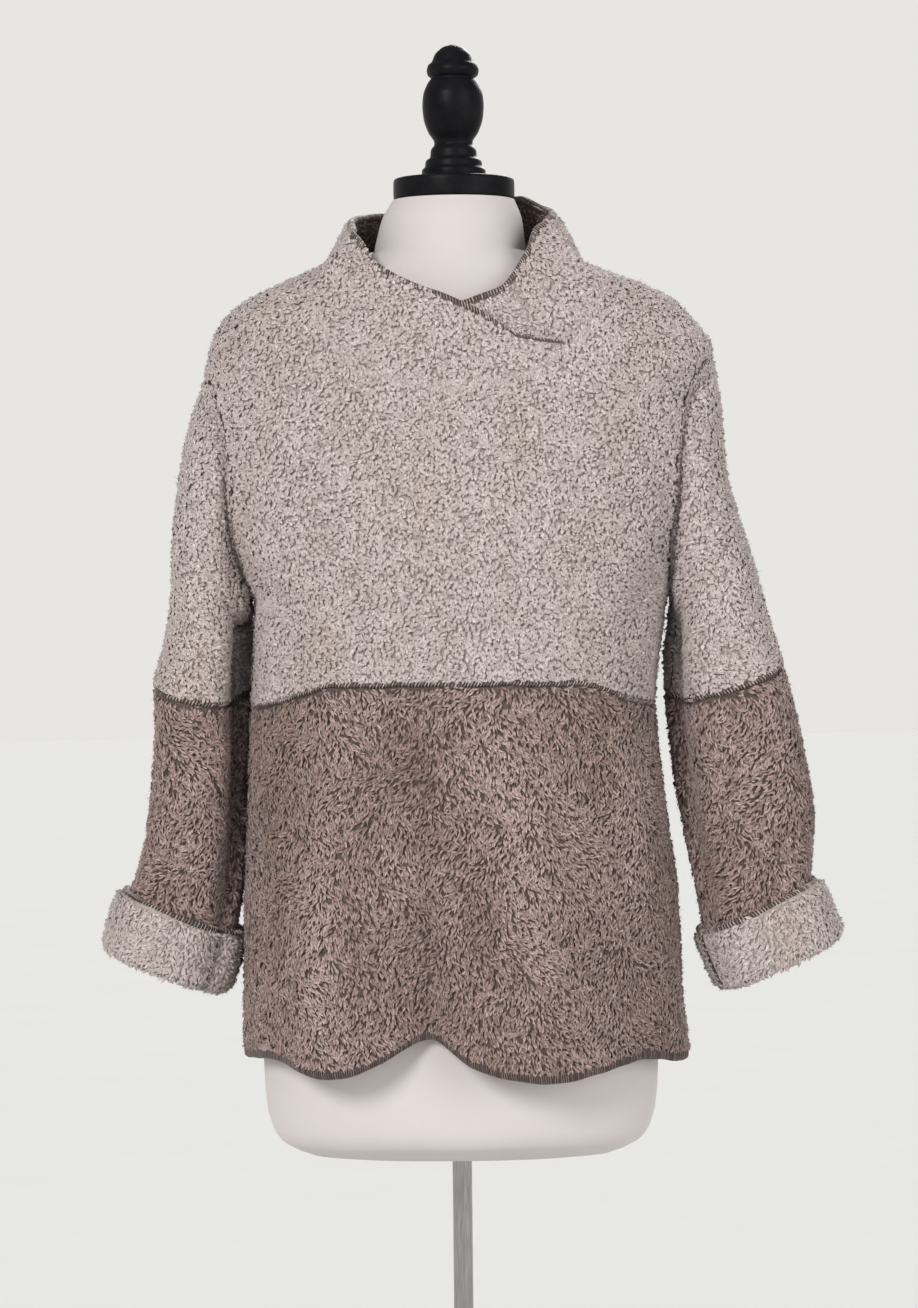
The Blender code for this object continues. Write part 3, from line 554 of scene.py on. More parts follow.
def upper_grid(front):
    """Angles and heights of an upper panel's points, by column and row."""
    base = panel_angles(front)
    first, last = ("right", "left") if front else ("left", "right")
    across = np.linspace(0, 1, len(base))[:, None]
    first_heights, last_heights = side_heights(first), side_heights(last)
    span = NECK_POINT_HEIGHT - SIDE_WAIST_HEIGHT
    share = (first_heights * (1 - across) + last_heights * across - SIDE_WAIST_HEIGHT) / span
    beside = np.abs(2 * across - 1) ** SIDE_PULL
    share = beside * share + (1 - beside) * np.linspace(0, 1, len(first_heights))
    first_turn = np.radians(armhole_turn(first, first_heights, front))
    last_turn = np.radians(armhole_turn(last, last_heights, front))
    bottom, top = waist_height(base)[:, None], neckline_height(base)[:, None]
    angles = base[0] + across * np.pi + first_turn * (1 - across) ** 3 - last_turn * across**3
    return angles, bottom + (top - bottom) * share


def lower_grid(front):
    base = panel_angles(front)[:, None]
    share = np.linspace(0, 1, LOWER_ROWS + 1)[None, :]
    low, high = hem_height(base), waist_height(base)
    return base + 0 * share, low + (high - low) * share


def sleeve_ring(side, around, station):
    """The sleeve's own ring, before it is drawn to the armhole."""
    names = SLEEVE_COLUMNS.split()[1:]
    at = {name: read(SLEEVE[side], "station", name, station) for name in names}
    power = 2 / SLEEVE_SQUARENESS
    out = np.sign(np.cos(around)) * np.abs(np.cos(around)) ** power
    forward = np.sign(np.sin(around)) * np.abs(np.sin(around)) ** power
    half_x, half_z = (at["outer_x"] - at["inner_x"]) / 2, (at["outer_z"] - at["inner_z"]) / 2
    near_crease = turn_between(around, at["crease_at"]) / CREASE_SPREAD
    tuck = at["crease"] * np.exp(-(near_crease**2))
    x = at["outer_x"] - half_x + half_x * out + at["turn"] * forward + CREASE_TUCK * tuck
    y = tuck - forward * np.where(forward > 0, at["front"], at["back"])
    z = at["outer_z"] - half_z + half_z * out - at["drop"] * forward
    rise = sleeve_creases(side, around, station)
    x, y = x + rise * np.cos(around), y - rise * np.sin(around)
    return np.stack([WAY_OUT[side] * x, y, z], axis=-1)


def cuff_direction(side):
    """The way the sleeve points where its cuff is, down and a little away from the body."""
    lean = np.radians(CUFF_LEAN[side])
    return np.array([WAY_OUT[side] * np.sin(lean), 0, -np.cos(lean)])


def sleeve_point(side, around, station):
    """The outer face of a sleeve, from the armhole's edge to its straight end inside the cuff."""
    around, station = np.broadcast_arrays(np.asarray(around, float), np.asarray(station, float))
    hole = ARMHOLE[side]
    middle, half = armhole_span(side)
    widest = np.where(np.sin(around) > 0, hole["front_turn"], hole["back_turn"])
    turn = -np.radians(widest * np.sin(around))
    edge = body_point(np.pi - turn if side == "right" else turn, middle + half * np.cos(around))
    kept = 1 - ease(station / ARMHOLE_FADE)
    moved = (edge - sleeve_ring(side, around, np.zeros_like(station))) * kept[..., None]
    past = np.maximum(station - CUFF_START, 0) / (SLEEVE_END - CUFF_START) * HIDDEN_LENGTH
    shown = sleeve_ring(side, around, np.minimum(station, CUFF_START))
    return shown + moved + past[..., None] * cuff_direction(side)


def sleeve_normals(side, around, station):
    """Sleeve normals point out of the tube on both sides."""
    surface = functools.partial(sleeve_point, side)
    return WAY_OUT[side] * normals_of(surface, around, np.maximum(station, 2e-3))


def collar_radius(angle, height):
    """The collar's round, leaning face: from the neckline in to its top radius."""
    degrees = turn_between(angle, 0)
    start = neckline_height(angle)
    base = np.linalg.norm(body_point(angle, start)[..., :2], axis=-1)
    rise = (height - start) / (COLLAR_TOP_HEIGHT - start)
    top, bulge = (read(COLLAR_SHAPE, "angle", name, degrees) for name in ("top_radius", "bulge"))
    return base + (top - base) * rise + bulge * 4 * rise * (1 - np.minimum(rise, 1))


def collar_point(travel, share):
    """travel: degrees along the strip from the over flap's tip; share: from neckline to free edge."""
    travel, share = np.broadcast_arrays(np.asarray(travel, float), np.asarray(share, float))
    angle = np.radians(OVER_TIP_ANGLE - travel)
    start = neckline_height(angle)
    height = start + (read(COLLAR_EDGE, "travel", "height", travel) - start) * share
    under = FLAP_STEP * ease((travel - UNDER_STARTS) / (UNDER_FULL - UNDER_STARTS))
    return at_radius(collar_radius(angle, height) - under, angle, height)


def collar_normals(travel, share):
    return -normals_of(collar_point, travel, share)


def drawn_in(points, axis, last=True):
    """Moves a grid's edge rows half a seam's gap towards their neighbours."""
    points = np.moveaxis(points.copy(), axis, 0)
    points[0] += unit(points[1] - points[0]) * SEAM_GAP / 2
    if last:
        points[-1] += unit(points[-2] - points[-1]) * SEAM_GAP / 2
    return np.moveaxis(points, 0, axis)


def creased(creases, across, up, arc, span):
    """How far a table of creases lifts the cloth; arc and span turn its places into millimetres."""
    total = np.zeros(np.broadcast(across, up).shape)
    for row in zip(*creases.values()):
        total = total + ridge_along(across * arc, up * span, row, arc, span)
    return total


def body_creases(angle, height):
    """Soft drag lines and hanging folds of the body, beyond those of the solids."""
    return creased(BODY_CREASES, turn_between(angle, 0), height, BODY_ARC, 1.0)


def sleeve_creases(side, around, station):
    degrees = np.degrees(around) % 360
    return creased(SLEEVE_CREASES[side], degrees, station, SLEEVE_ARC, SLEEVE_SPAN)


def ridge_along(across, up, row, arc, span):
    """A soft ridge (or a trough, where rise is negative) along a short line on the cloth."""
    from_across, from_up, to_across, to_up, width, rise = row
    start = np.array([from_across * arc, from_up * span])
    line = np.array([to_across * arc, to_up * span]) - start
    away_x, away_y = across - start[0], up - start[1]
    share = np.clip((away_x * line[0] + away_y * line[1]) / (line @ line), 0, 1)
    gap = (away_x - share * line[0]) ** 2 + (away_y - share * line[1]) ** 2
    return rise * np.sin(np.pi * (0.12 + 0.76 * share)) * np.exp(-gap / width**2)


def distances(points, axis=0):
    """Distance along lines of points, from the first of each."""
    steps = np.linalg.norm(np.diff(points, axis=axis), axis=-1)
    return np.insert(np.cumsum(steps, axis=axis), 0, 0, axis=axis)


def quads(columns, rows, wrapped=False, closed=False):
    """Faces between points that are numbered by column, then row; either way round may close."""
    column, row = np.meshgrid(
        np.arange(columns - (not wrapped)), np.arange(rows - (not closed)), indexing="ij"
    )
    here, after = column * rows, (column + 1) % columns * rows
    up = (row + 1) % rows
    return np.stack([here + row, after + row, after + up, here + up], axis=-1).reshape(-1, 4)


def new_object(name, points, faces, material_names):
    """A mesh from points in millimetres and one array of equal-sided faces, riding on the part."""
    faces = np.asarray(faces, np.int32)
    mesh = bpy.data.meshes.new(name)
    mesh.vertices.add(len(points))
    mesh.vertices.foreach_set("co", (np.asarray(points, float) * MM).astype(np.float32).ravel())
    mesh.loops.add(faces.size)
    mesh.loops.foreach_set("vertex_index", faces.ravel())
    mesh.polygons.add(len(faces))
    mesh.polygons.foreach_set("loop_start", np.arange(0, faces.size, faces.shape[1]))
    mesh.polygons.foreach_set("use_smooth", np.full(len(faces), True))
    mesh.update(calc_edges=True)
    for material in material_names:
        mesh.materials.append(bpy.data.materials[material])
    placed = bpy.data.objects.new(name, mesh)
    bpy.context.scene.collection.objects.link(placed)
    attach(placed, "root")
    return placed


def set_attribute(placed, name, values):
    attribute = placed.data.attributes.new(name, "FLOAT", "POINT")
    attribute.data.foreach_set("value", np.asarray(values, np.float32).ravel())


def give_second_material(placed, start, stop):
    index = np.zeros(len(placed.data.polygons), np.int32)
    index[start:stop] = 1
    placed.data.polygons.foreach_set("material_index", index)


def facing_out(points, faces):
    """The faces of a closed mesh, turned round where they face inwards."""
    a, b, c = (points[faces[:, corner]] for corner in range(3))
    volume = np.einsum("ij,ij->", a, np.cross(b, c))
    return faces[:, ::-1] if volume < 0 else faces


def shell(name, outer, inner, wrapped, materials):
    """A thin closed shell between two grids, with its inner face in the second material."""
    columns, rows = outer.shape[:2]
    points = np.concatenate([outer.reshape(-1, 3), inner.reshape(-1, 3)])
    back = columns * rows
    face = quads(columns, rows, wrapped)
    around = np.arange(columns - (not wrapped))
    first, second = around * rows, (around + 1) % columns * rows
    top = rows - 1
    rims = [(first + back, second + back, second, first)]
    rims.append((first + top, second + top, second + top + back, first + top + back))
    if not wrapped:
        up = np.arange(rows - 1)
        end = (columns - 1) * rows + up
        rims.append((up, up + 1, up + 1 + back, up + back))
        rims.append((end + back, end + 1 + back, end + 1, end))
    rims = [np.stack(rim, axis=-1) for rim in rims]
    faces = np.concatenate([face, face[:, ::-1] + back, *rims])
    placed = new_object(name, points, facing_out(points, faces), materials)
    give_second_material(placed, len(face), 2 * len(face))
    return placed


def smooth_noise(points, seed, scale):
    """A gentle field from -1 to 1 over space, from a few waves in fixed random directions."""
    random = np.random.default_rng(seed)
    total = 0
    for _ in range(FIELD_WAVES):
        way = unit(random.normal(size=3)) / (scale * random.uniform(0.6, 1.6))
        total = total + np.sin(points @ way * 2 * np.pi + random.uniform(0, 2 * np.pi))
    return total / 3.0


class Pile:
    """Gathers locks of pile as one mesh, each lock a small curved leaf with a raised crest."""

    def __init__(self, seed):
        self.random = np.random.default_rng(seed)
        self.points, self.along, self.tone, self.across, self.hairs = [], [], [], [], []

    def stand(self, grid, normals, wrapped, kind, clear, keep=None, painted_shade=None):
        """Locks over a grid of the cloth's outer face.

        clear holds the bare margins in mm at the first and last row and the first and last column.
        The last argument gives, for points on the cloth, painted shade (below 0) in the folds' troughs
        and painted light (above 0) on their ridges, added to the locks' tone.
        """
        length, width, each, ground, lift, spread, stray, nap, curl = kind
        random = self.random
        if wrapped:
            grid, normals = (np.concatenate([values, values[:1]]) for values in (grid, normals))
        a, b, c, d = grid[:-1, :-1], grid[1:, :-1], grid[1:, 1:], grid[:-1, 1:]
        area = np.linalg.norm(np.cross(c - a, d - b), axis=-1) / 2
        count = np.floor(area / each + random.random(area.shape)).astype(int)
        column, row = (np.repeat(index.ravel(), count.ravel()) for index in np.indices(area.shape))
        part_x, part_y = random.random(len(column)), random.random(len(column))[:, None]
        part_x = self.evened(column * area.shape[1] + row, part_x)[:, None]

        def blend(values):
            low, high = (
                values[column, at] * (1 - part_x) + values[column + 1, at] * part_x
                for at in (row, row + 1)
            )
            return low * (1 - part_y) + high * part_y

        root, out = blend(grid), unit(blend(normals))
        up = unit(grid[column, row + 1] - grid[column, row])
        up = unit(up - np.sum(up * out, axis=1, keepdims=True) * out)
        side = np.cross(up, out)
        height, travel = distances(grid, 1), distances(grid, 0)
        edges = (height, height[:, -1:] - height, travel, travel[-1:] - travel)
        from_low, to_high, from_first, to_last = blend(np.stack(edges, axis=-1)).T
        turn = np.radians(nap) + spread * smooth_noise(root, *BROAD_TURN)
        turn = turn + FINE_TURN_SHARE * spread * smooth_noise(root, *FINE_TURN)
        turn = turn + random.normal(0, stray, len(root))
        way = np.cos(turn)[:, None] * up + np.sin(turn)[:, None] * side
        size = length * random.uniform(*LOCK_SIZES, len(root))
        rate_up, rate_side = np.sum(way * up, axis=1), np.abs(np.sum(way * side, axis=1))
        room = [(from_low - clear[0], -rate_up), (to_high - clear[1], rate_up)]
        if not wrapped:
            # The columns may run with or against side, so both ends are held to the nearer margin.
            room += [(from_first - clear[2], rate_side), (to_last - clear[3], rate_side)]
        kept = np.ones(len(root), bool)
        for gap, rate in room:
            reach = np.maximum(gap, 0) / np.maximum(rate, LEAST_RATE) + PAST_MARGIN
            size = np.where(rate > LEAST_RATE, np.minimum(size, reach), size)
            kept &= gap > 0
        kept &= size > SHORTEST_LOCK * length
        if keep is not None:
            kept &= keep(root)
        root, out, way, size = root[kept], out[kept], way[kept], size[kept]
        tone = random.random(len(root))
        # Painted shade and light: the folds' shift is added to each lock's random tone.
        if painted_shade is not None:
            tone = np.clip(tone + painted_shade(root), 0, 1)
        self.add(root, out, way, size, width, ground, lift, curl, tone)

    def evened(self, cell, part):
        """Spreads the locks of one cell across it, so that they don't heap up."""
        order = np.argsort(cell, kind="stable")
        ordered = cell[order]
        first, last = (np.searchsorted(ordered, ordered, side=end) for end in ("left", "right"))
        result = np.empty(len(cell))
        result[order] = (np.arange(len(cell)) - first + part[order]) / (last - first)
        return result

    def add(self, root, out, way, size, width, ground, lift, curl, tone):
        random = self.random
        count = len(root)
        across = np.cross(way, out)
        wide = width * random.uniform(*LOCK_WIDTHS, count)[:, None]
        high = lift * random.uniform(*LOCK_LIFTS, count)
        high = high + np.where(random.random(count) < PROUD_SHARE, PROUD_RISE, 0)
        bend = curl * random.normal(0, 1, count)[:, None] * across
        size, high = size[:, None], high[:, None]
        start = root - out * ground
        middle = start + way * size * 0.55 + out * (ground * 0.6 + high) + bend * 0.8
        tip_rise = ground * 0.5 + high * random.uniform(*TIP_LIFTS, (count, 1))
        tip = start + way * size + out * tip_rise + bend * 2
        crest = middle + out * wide * 0.45 - way * size * 0.12
        half = across * wide * 0.6
        lock = np.stack([start, middle - half, crest, middle + half, tip], axis=1)
        self.points.append(lock.reshape(-1, 3))
        self.along.append(np.tile(LOCK_ALONG, count))
        self.tone.append(np.repeat(tone, len(LOCK_ALONG)))
        self.across.append(np.tile(LOCK_ACROSS, count))
        loose = random.random(count) < FIBRE_SHARE
        base = middle[loose] + out[loose] * 0.3
        lifts = np.where(random.random((len(base), 1)) < STEEP_SHARE, STEEP_RISE, FLAT_RISE)
        stray = random.normal(0, FIBRE_STRAY, (len(base), 3)) + lifts * out[loose] + way[loose]
        reach = unit(stray) * random.uniform(*FIBRE_LENGTHS, (len(base), 1))
        breadth = across[loose] * FIBRE_WIDTH / 2
        hair = np.stack([base - breadth, base + breadth, base + reach], axis=1)
        self.hairs.append(hair.reshape(-1, 3))

    def make(self, name, tint):
        points, hairs = np.concatenate(self.points), np.concatenate(self.hairs)
        firsts = np.arange(0, len(points), len(LOCK_ALONG))[:, None, None]
        faces = (LOCK_FACES + firsts).reshape(-1, 3)
        strands = np.arange(len(hairs)).reshape(-1, 3) + len(points)
        faces = np.concatenate([faces, strands])
        placed = new_object(name, np.concatenate([points, hairs]), faces, [tint + "_locks"])
        loose = len(strands)
        set_attribute(placed, "along", np.concatenate([*self.along, np.tile(HAIR_ALONG, loose)]))
        hair_tone = np.repeat(self.random.random(loose), 3)
        set_attribute(placed, "tone", np.concatenate([*self.tone, hair_tone]))
        set_attribute(placed, "across", np.concatenate([*self.across, np.zeros(3 * loose)]))
        return placed


class Sewing:
    """Gathers overlock stitching: a dark band, thread bars across it and a knot at each bar's end."""

    def __init__(self, seed):
        self.random = np.random.default_rng(seed)
        self.bands, self.threads, self.glint = ([], []), ([], []), []

    def gather(self, meshes, points, faces):
        """Keeps one more mesh, its faces numbered on from those before it."""
        kept_points, kept_faces = meshes
        kept_faces.append(faces + sum(map(len, kept_points)))
        kept_points.append(points.reshape(-1, 3))

    def tube(self, lines, radius, tone):
        """Three-sided tubes along lines of equal count: lines has shape (number, steps, 3)."""
        number, steps = lines.shape[:2]
        ahead = unit(np.gradient(lines, axis=1))
        guide = np.broadcast_to(TUBE_GUIDE, ahead.shape)
        first = unit(np.cross(ahead, guide))
        second = np.cross(ahead, first)
        turn = full_turn(3)[:, None]
        ring = first[:, :, None] * np.cos(turn) + second[:, :, None] * np.sin(turn)
        swell = np.ones(steps)
        swell[[0, -1]] = TUBE_END
        points = lines[:, :, None] + ring * radius * swell[None, :, None, None]
        face = quads(steps, 3, closed=True)[:, OTHER_WAY]
        offsets = steps * 3 * np.arange(number)[:, None, None]
        self.gather(self.threads, points, (face[None] + offsets).reshape(-1, 4))
        self.glint.append(np.repeat(np.broadcast_to(tone, number), steps * 3))

    def run(
        self, path, out, into, profile, pitch=2.6, radius=0.58, closed=False, wander=0.7,
        sheen=(0.3, 1.0), edges=((0.0, 0.5), (0.0, 0.5)),
    ):
        """Stitching along a path; profile holds (out, into) pairs in mm from side to side."""
        if closed:
            path, out, into = (np.concatenate([line, line[:1]]) for line in (path, out, into))
        travel = distances(path)
        wobble = np.sin(travel / 11.3 + self.random.uniform(0, 6))
        wobble = wander * (wobble + 0.6 * np.sin(travel / 4.7 + self.random.uniform(0, 6)))
        ends = np.minimum(travel, travel[-1] - travel) / FADE_LENGTH
        fade = np.ones(len(travel)) if closed else ease(ends)
        path = path + into * (wobble * 0.5 * fade)[:, None]
        count = max(4, int(travel[-1] / pitch))
        at = (np.arange(count) + 0.5) / count * travel[-1]

        def place(where, far_out, far_in):
            """Points beside the path at distances along it."""
            spots, ways, sides = (
                np.stack([np.interp(where, travel, line[:, axis]) for axis in range(3)], axis=-1)
                for line in (path, out, into)
            )
            return spots + ways * far_out + sides * far_in

        profile = np.array(profile, float)
        lines = []
        for (far_out, far_in), shift in zip(profile, np.linspace(-SLANT, SLANT, len(profile))):
            where = at + shift * pitch + self.random.normal(0, STITCH_STRAY, count)
            where = np.clip(where, 0, travel[-1])
            lines.append(place(where, far_out + THREAD_CLEAR, far_in))
        lines = np.stack(lines, axis=1)
        self.tube(lines, radius, self.random.uniform(*sheen, count))
        for edge, tones in zip((0, -1), edges):
            knots = lines[:, edge]
            link = np.stack([knots[:-1], knots[1:]], axis=1)
            self.tube(link, radius * KNOT_SIZE, self.random.uniform(*tones, count - 1))
        places = np.arange(0, travel[-1] + BAND_STEP / 2, BAND_STEP)
        places = np.minimum(places, travel[-1])
        ground = np.stack([place(places, *pair) for pair in profile], axis=1)
        self.gather(self.bands, ground, quads(*ground.shape[:2])[:, OTHER_WAY])

    def make(self, name):
        bands, threads = (np.concatenate(points) for points, _ in (self.bands, self.threads))
        thread_faces = np.concatenate(self.threads[1]) + len(bands)
        faces = np.concatenate([*self.bands[1], thread_faces])
        points = np.concatenate([bands, threads])
        placed = new_object(name, points, faces, ["thread_ground", "thread"])
        give_second_material(placed, len(faces) - len(thread_faces), len(faces))
        set_attribute(placed, "tone", np.concatenate([np.zeros(len(bands)), *self.glint]))
        return placed


def wrapped_edge(half, width):
    """A profile that wraps an edge: up one face, over the edge and down the other."""
    side = ((half + 0.3, width), (half + 0.5, width * 0.5), (half + 0.1, 0.2))
    return (*side, (0, -EDGE_PAST), (-half - 0.1, 0.2), (-half - 0.3, width))


def raised_seam(width, rise):
    """A profile that lies on the cloth, highest in its middle."""
    places = (-width / 2, -width / 4, 0, width / 4, width / 2)
    return tuple(zip((-0.6, rise * 0.75, rise, rise * 0.75, -0.6), places))


# The cloth pieces


def layered(outer, normals, name, wrapped, materials, last=True, ends=True):
    """The shell under the pile: its outer face below the pile's tips, its inner face near the wall's."""
    layers = []
    for depth in (GROUND_DEPTH, SHELL_DEPTH):
        layer = drawn_in(outer - normals * depth, 1, last)
        layers.append(layer if wrapped or not ends else drawn_in(layer, 0))
    return shell(name, *layers, wrapped, materials)


def two_faced(upper):
    """The pile's tint outside, and the materials of a shell's outer and inner face."""
    tint, other = ("light", "dark") if upper else ("dark", "light")
    return tint, [tint + "_ground", other + "_inside"]


def painted_fold_shade(points):
    """Painted shade in the troughs of the folds and painted light on their ridges, as a shift of the
    locks' tone.
    """
    rise = body_creases(np.arctan2(points[:, 1], points[:, 0]), points[:, 2])
    return FOLD_SHADE_PAINT * np.clip(rise / FULL_FOLD, -1, 1)


def dress_panel(name, front, upper, seed):
    grid = upper_grid(front) if upper else lower_grid(front)
    outer, normals = body_point(*grid), body_normals(*grid)
    tint, materials = two_faced(upper)
    cloth = layered(outer, normals, name + "_cloth", False, materials)
    pile = Pile(seed)
    kind, clear = (UPPER_PILE, UPPER_CLEAR) if upper else (LOWER_PILE, LOWER_CLEAR)
    if not front:
        kind = (*kind[:2], kind[2] * BACK_SHARE, *kind[3:])
    # The pile's tone carries painted shade in the folds' troughs and painted light on their ridges.
    pile.stand(outer, normals, False, kind, clear, painted_shade=painted_fold_shade)
    if upper:
        pile.stand(outer[:, -3:], normals[:, -3:], False, FRINGE_UP, FRINGE_UP_CLEAR)
    return cloth, pile.make(name + "_pile", tint)


def dress_sleeve(name, side, upper, seed):
    if upper:
        stations = np.linspace(0, 1, SLEEVE_UPPER_ROWS + 1)
    else:
        hidden = [(CUFF_START + SLEEVE_END) / 2, SLEEVE_END]
        stations = np.append(np.linspace(1, CUFF_START, SLEEVE_LOWER_ROWS), hidden)
    places = np.meshgrid(full_turn(SLEEVE_AROUND), stations, indexing="ij")
    outer, normals = sleeve_point(side, *places), sleeve_normals(side, *places)
    tint, materials = two_faced(upper)
    cloth = layered(outer, normals, name + "_cloth", True, materials, last=upper)
    pile = Pile(seed)
    if upper:
        kind, shown, clear = SLEEVE_UPPER_PILE, slice(None), SLEEVE_UPPER_CLEAR
    else:
        kind, shown, clear = SLEEVE_LOWER_PILE, slice(0, SLEEVE_LOWER_ROWS), SLEEVE_LOWER_CLEAR
    seam = seam_line(side, np.linspace(0.02, CUFF_START, SEAM_GAP_STEPS))[0]

    def off_seam(root):
        """Tells which points are clear of the seam, in lots that keep the distances few."""
        starts = range(0, len(root), POINTS_AT_ONCE)
        gaps = [nearest(root[start : start + POINTS_AT_ONCE], seam) for start in starts]
        return np.concatenate(gaps) > SLEEVE_SEAM_CLEAR

    pile.stand(outer[:, shown], normals[:, shown], True, kind, clear, off_seam)
    return cloth, pile.make(name + "_pile", tint)


def nearest(points, line):
    """Each point's distance to the nearest point of a line."""
    return np.linalg.norm(points[:, None] - line[None], axis=-1).min(axis=1)


def seam_line(side, stations):
    """The underarm seam: in the sleeve's crease on wearer's right, under the arm on the left."""
    at = read(SLEEVE[side], "station", "crease_at", stations) + SLEEVE_SEAM[side]
    places = (np.radians(at), stations)
    return sleeve_point(side, *places), sleeve_normals(side, *places)


def sink_seam(sewing, line, out, depth, bright):
    """A flat seam's stitches along a line, sunk below the pile."""
    into = unit(np.cross(np.gradient(line, axis=0), out))
    profile = raised_seam(*FLAT_SEAM)
    sewing.run(line - out * depth, out, into, profile, **FLAT_STITCH, sheen=(0.0, bright))


def cuff_grid(side):
    """Points round the cuff's folded section, and the ways out of the sleeve and along it."""
    around = full_turn(SLEEVE_AROUND)
    start_at = np.full(around.shape, CUFF_START)
    start = sleeve_point(side, around, start_at)
    down = cuff_direction(side)
    across = sleeve_normals(side, around, start_at)
    across = unit(across - (across @ down)[:, None] * down)
    closed = {name: np.append(column, column[0]) for name, column in CUFF_PROFILE.items()}
    closed["index"] = np.arange(len(closed["out"]) + 0.0)
    at = np.arange(CUFF_STEPS) * closed["index"][-1] / CUFF_STEPS
    out, along = read(closed, "index", "out", at), read(closed, "index", "down", at)
    outside = ease((at - 5) / 2) * (1 - ease((at - 12.2) / 1.5))
    uneven = 0
    for height, waves, offset in CUFF_WAVES:
        uneven = uneven + height * outside * np.sin(waves * around + offset)[:, None]
    points = start[:, None] + across[:, None] * (out + uneven)[..., None] + down * along[:, None]
    return points, across, down


def dress_cuff(side, seed):
    points, across, down = cuff_grid(side)
    along, onward = (np.roll(points, -1, axis=axis) - np.roll(points, 1, axis=axis) for axis in (1, 0))
    normals = unit(np.cross(unit(onward), unit(along)))
    if np.sum(normals[:, profile_step(CUFF_OUTSIDE)] * across) < 0:
        normals = -normals
    inset = (points - normals * GROUND_DEPTH * 0.6).reshape(-1, 3)
    faces = facing_out(inset, quads(SLEEVE_AROUND, CUFF_STEPS, True, True))
    cloth = new_object(f"cuff_{side}_cloth", inset, faces, ["light_ground"])
    shown = slice(*map(profile_step, CUFF_PILE_SPAN))
    seam_at = read(SLEEVE[side], "station", "crease_at", CUFF_START) + SLEEVE_SEAM[side]
    seam_column = int(round(seam_at / 360 * SLEEVE_AROUND))
    seam, seam_out = points[seam_column, shown], normals[seam_column, shown]

    def off_seam(root):
        return nearest(root, seam) > CUFF_SEAM_CLEAR

    pile = Pile(seed)
    pile.stand(points[:, shown], normals[:, shown], True, CUFF_PILE, CUFF_CLEAR, off_seam)
    tufts = pile.make(f"cuff_{side}_pile", "light")
    sewing = Sewing(seed + 1)
    sink_seam(sewing, seam, seam_out, 0.8, 0.3)
    path = (points[:, profile_step(CUFF_BRIM)] + points[:, 0]) / 2 - down * 1.2
    into = np.broadcast_to(down, path.shape)
    sewing.run(path, across, into, wrapped_edge(3.1, CUFF_BAND), closed=True)
    return cloth, tufts, sewing.make(f"cuff_stitching_{side}")


def profile_step(corner):
    """The step of the cuff's section that lies at a corner of its profile, or between two."""
    return int(CUFF_STEPS * corner / (len(CUFF_PROFILE["out"]) + 1))


def dress_collar(seed):
    travels = np.linspace(0, COLLAR_LENGTH, COLLAR_COLUMNS)
    travel, share = np.meshgrid(travels, np.linspace(0, 1, COLLAR_ROWS + 1), indexing="ij")
    outer = collar_point(travel, share)
    normals = collar_normals(travel, np.maximum(share, 0.02))
    cloth = layered(outer, normals, "collar_cloth", False, two_faced(True)[1], ends=False)
    pile, inside = Pile(seed), Pile(seed + 1)
    hidden_from = int(np.searchsorted(travels, COVERED_FROM))
    over, over_normals = outer[:hidden_from], normals[:hidden_from]
    pile.stand(over, over_normals, False, COLLAR_PILE, COLLAR_CLEAR)
    pile.stand(over[:, :3], over_normals[:, :3], False, FRINGE_DOWN, FRINGE_DOWN_CLEAR)
    under, under_normals = outer[hidden_from:], normals[hidden_from:]
    pile.stand(under, under_normals, False, COLLAR_UNDER_PILE, COLLAR_UNDER_CLEAR)
    tufts = pile.make("collar_pile", "light")
    far = outer - normals * PLUSH
    inside.stand(far[:, 5:], -normals[:, 5:], False, INSIDE_PILE, INSIDE_CLEAR)
    inner = inside.make("collar_inside_pile", "dark")
    sewing = Sewing(seed + 2)
    steps = np.linspace(0.5, COLLAR_LENGTH - 0.5, COLLAR_EDGE_STEPS)
    edge = collar_point(steps, 1.0)
    out = collar_normals(steps, np.full(steps.shape, 0.98))
    into = unit(collar_point(steps, 0.9) - edge)
    middle = edge - out * PLUSH / 2
    narrow = steps < COVERED_TIP
    for part, width in ((~narrow, COLLAR_BAND), (narrow, 1.6)):
        sewing.run(middle[part], out[part], into[part], wrapped_edge(2.3, width))
    return cloth, tufts, inner, sewing.make("collar_stitching")


def body_line(height_at, count):
    """A closed line round the body with the ways out of the cloth and up it."""
    angles = np.radians(np.linspace(-180, 180, count, endpoint=False))
    heights = height_at(angles)
    path = body_point(angles, heights)
    return path, body_normals(angles, heights), unit(body_point(angles, heights + 2) - path)


def waist_stitching():
    sewing = Sewing(61)
    path, out, into = body_line(waist_height, WAIST_STEPS)
    profile = raised_seam(WAIST_BAND, SEAM_RISE)
    sewing.run(path - out * SEAM_SUNK, out, into, profile, closed=True, wander=1.3, edges=WAIST_EDGES)
    return sewing.make("waist_stitching")


def hem_stitching():
    sewing = Sewing(62)
    path, out, into = body_line(hem_height, HEM_STEPS)
    profile = wrapped_edge(1.9, HEM_BAND)
    sewing.run(path - out * PLUSH / 2, out, into, profile, 1.8, 0.5, True, sheen=(0.0, 0.5))
    return sewing.make("hem_stitching")


def sleeve_line(side, station, towards):
    """A closed line round a sleeve with the ways out of the cloth and towards another station."""
    around = full_turn(SLEEVE_SEAM_STEPS)
    here, ahead = (np.full(around.shape, at) for at in (station, towards))
    path = sleeve_point(side, around, here)
    into = unit(sleeve_point(side, around, ahead) - path)
    return path, sleeve_normals(side, around, here), into


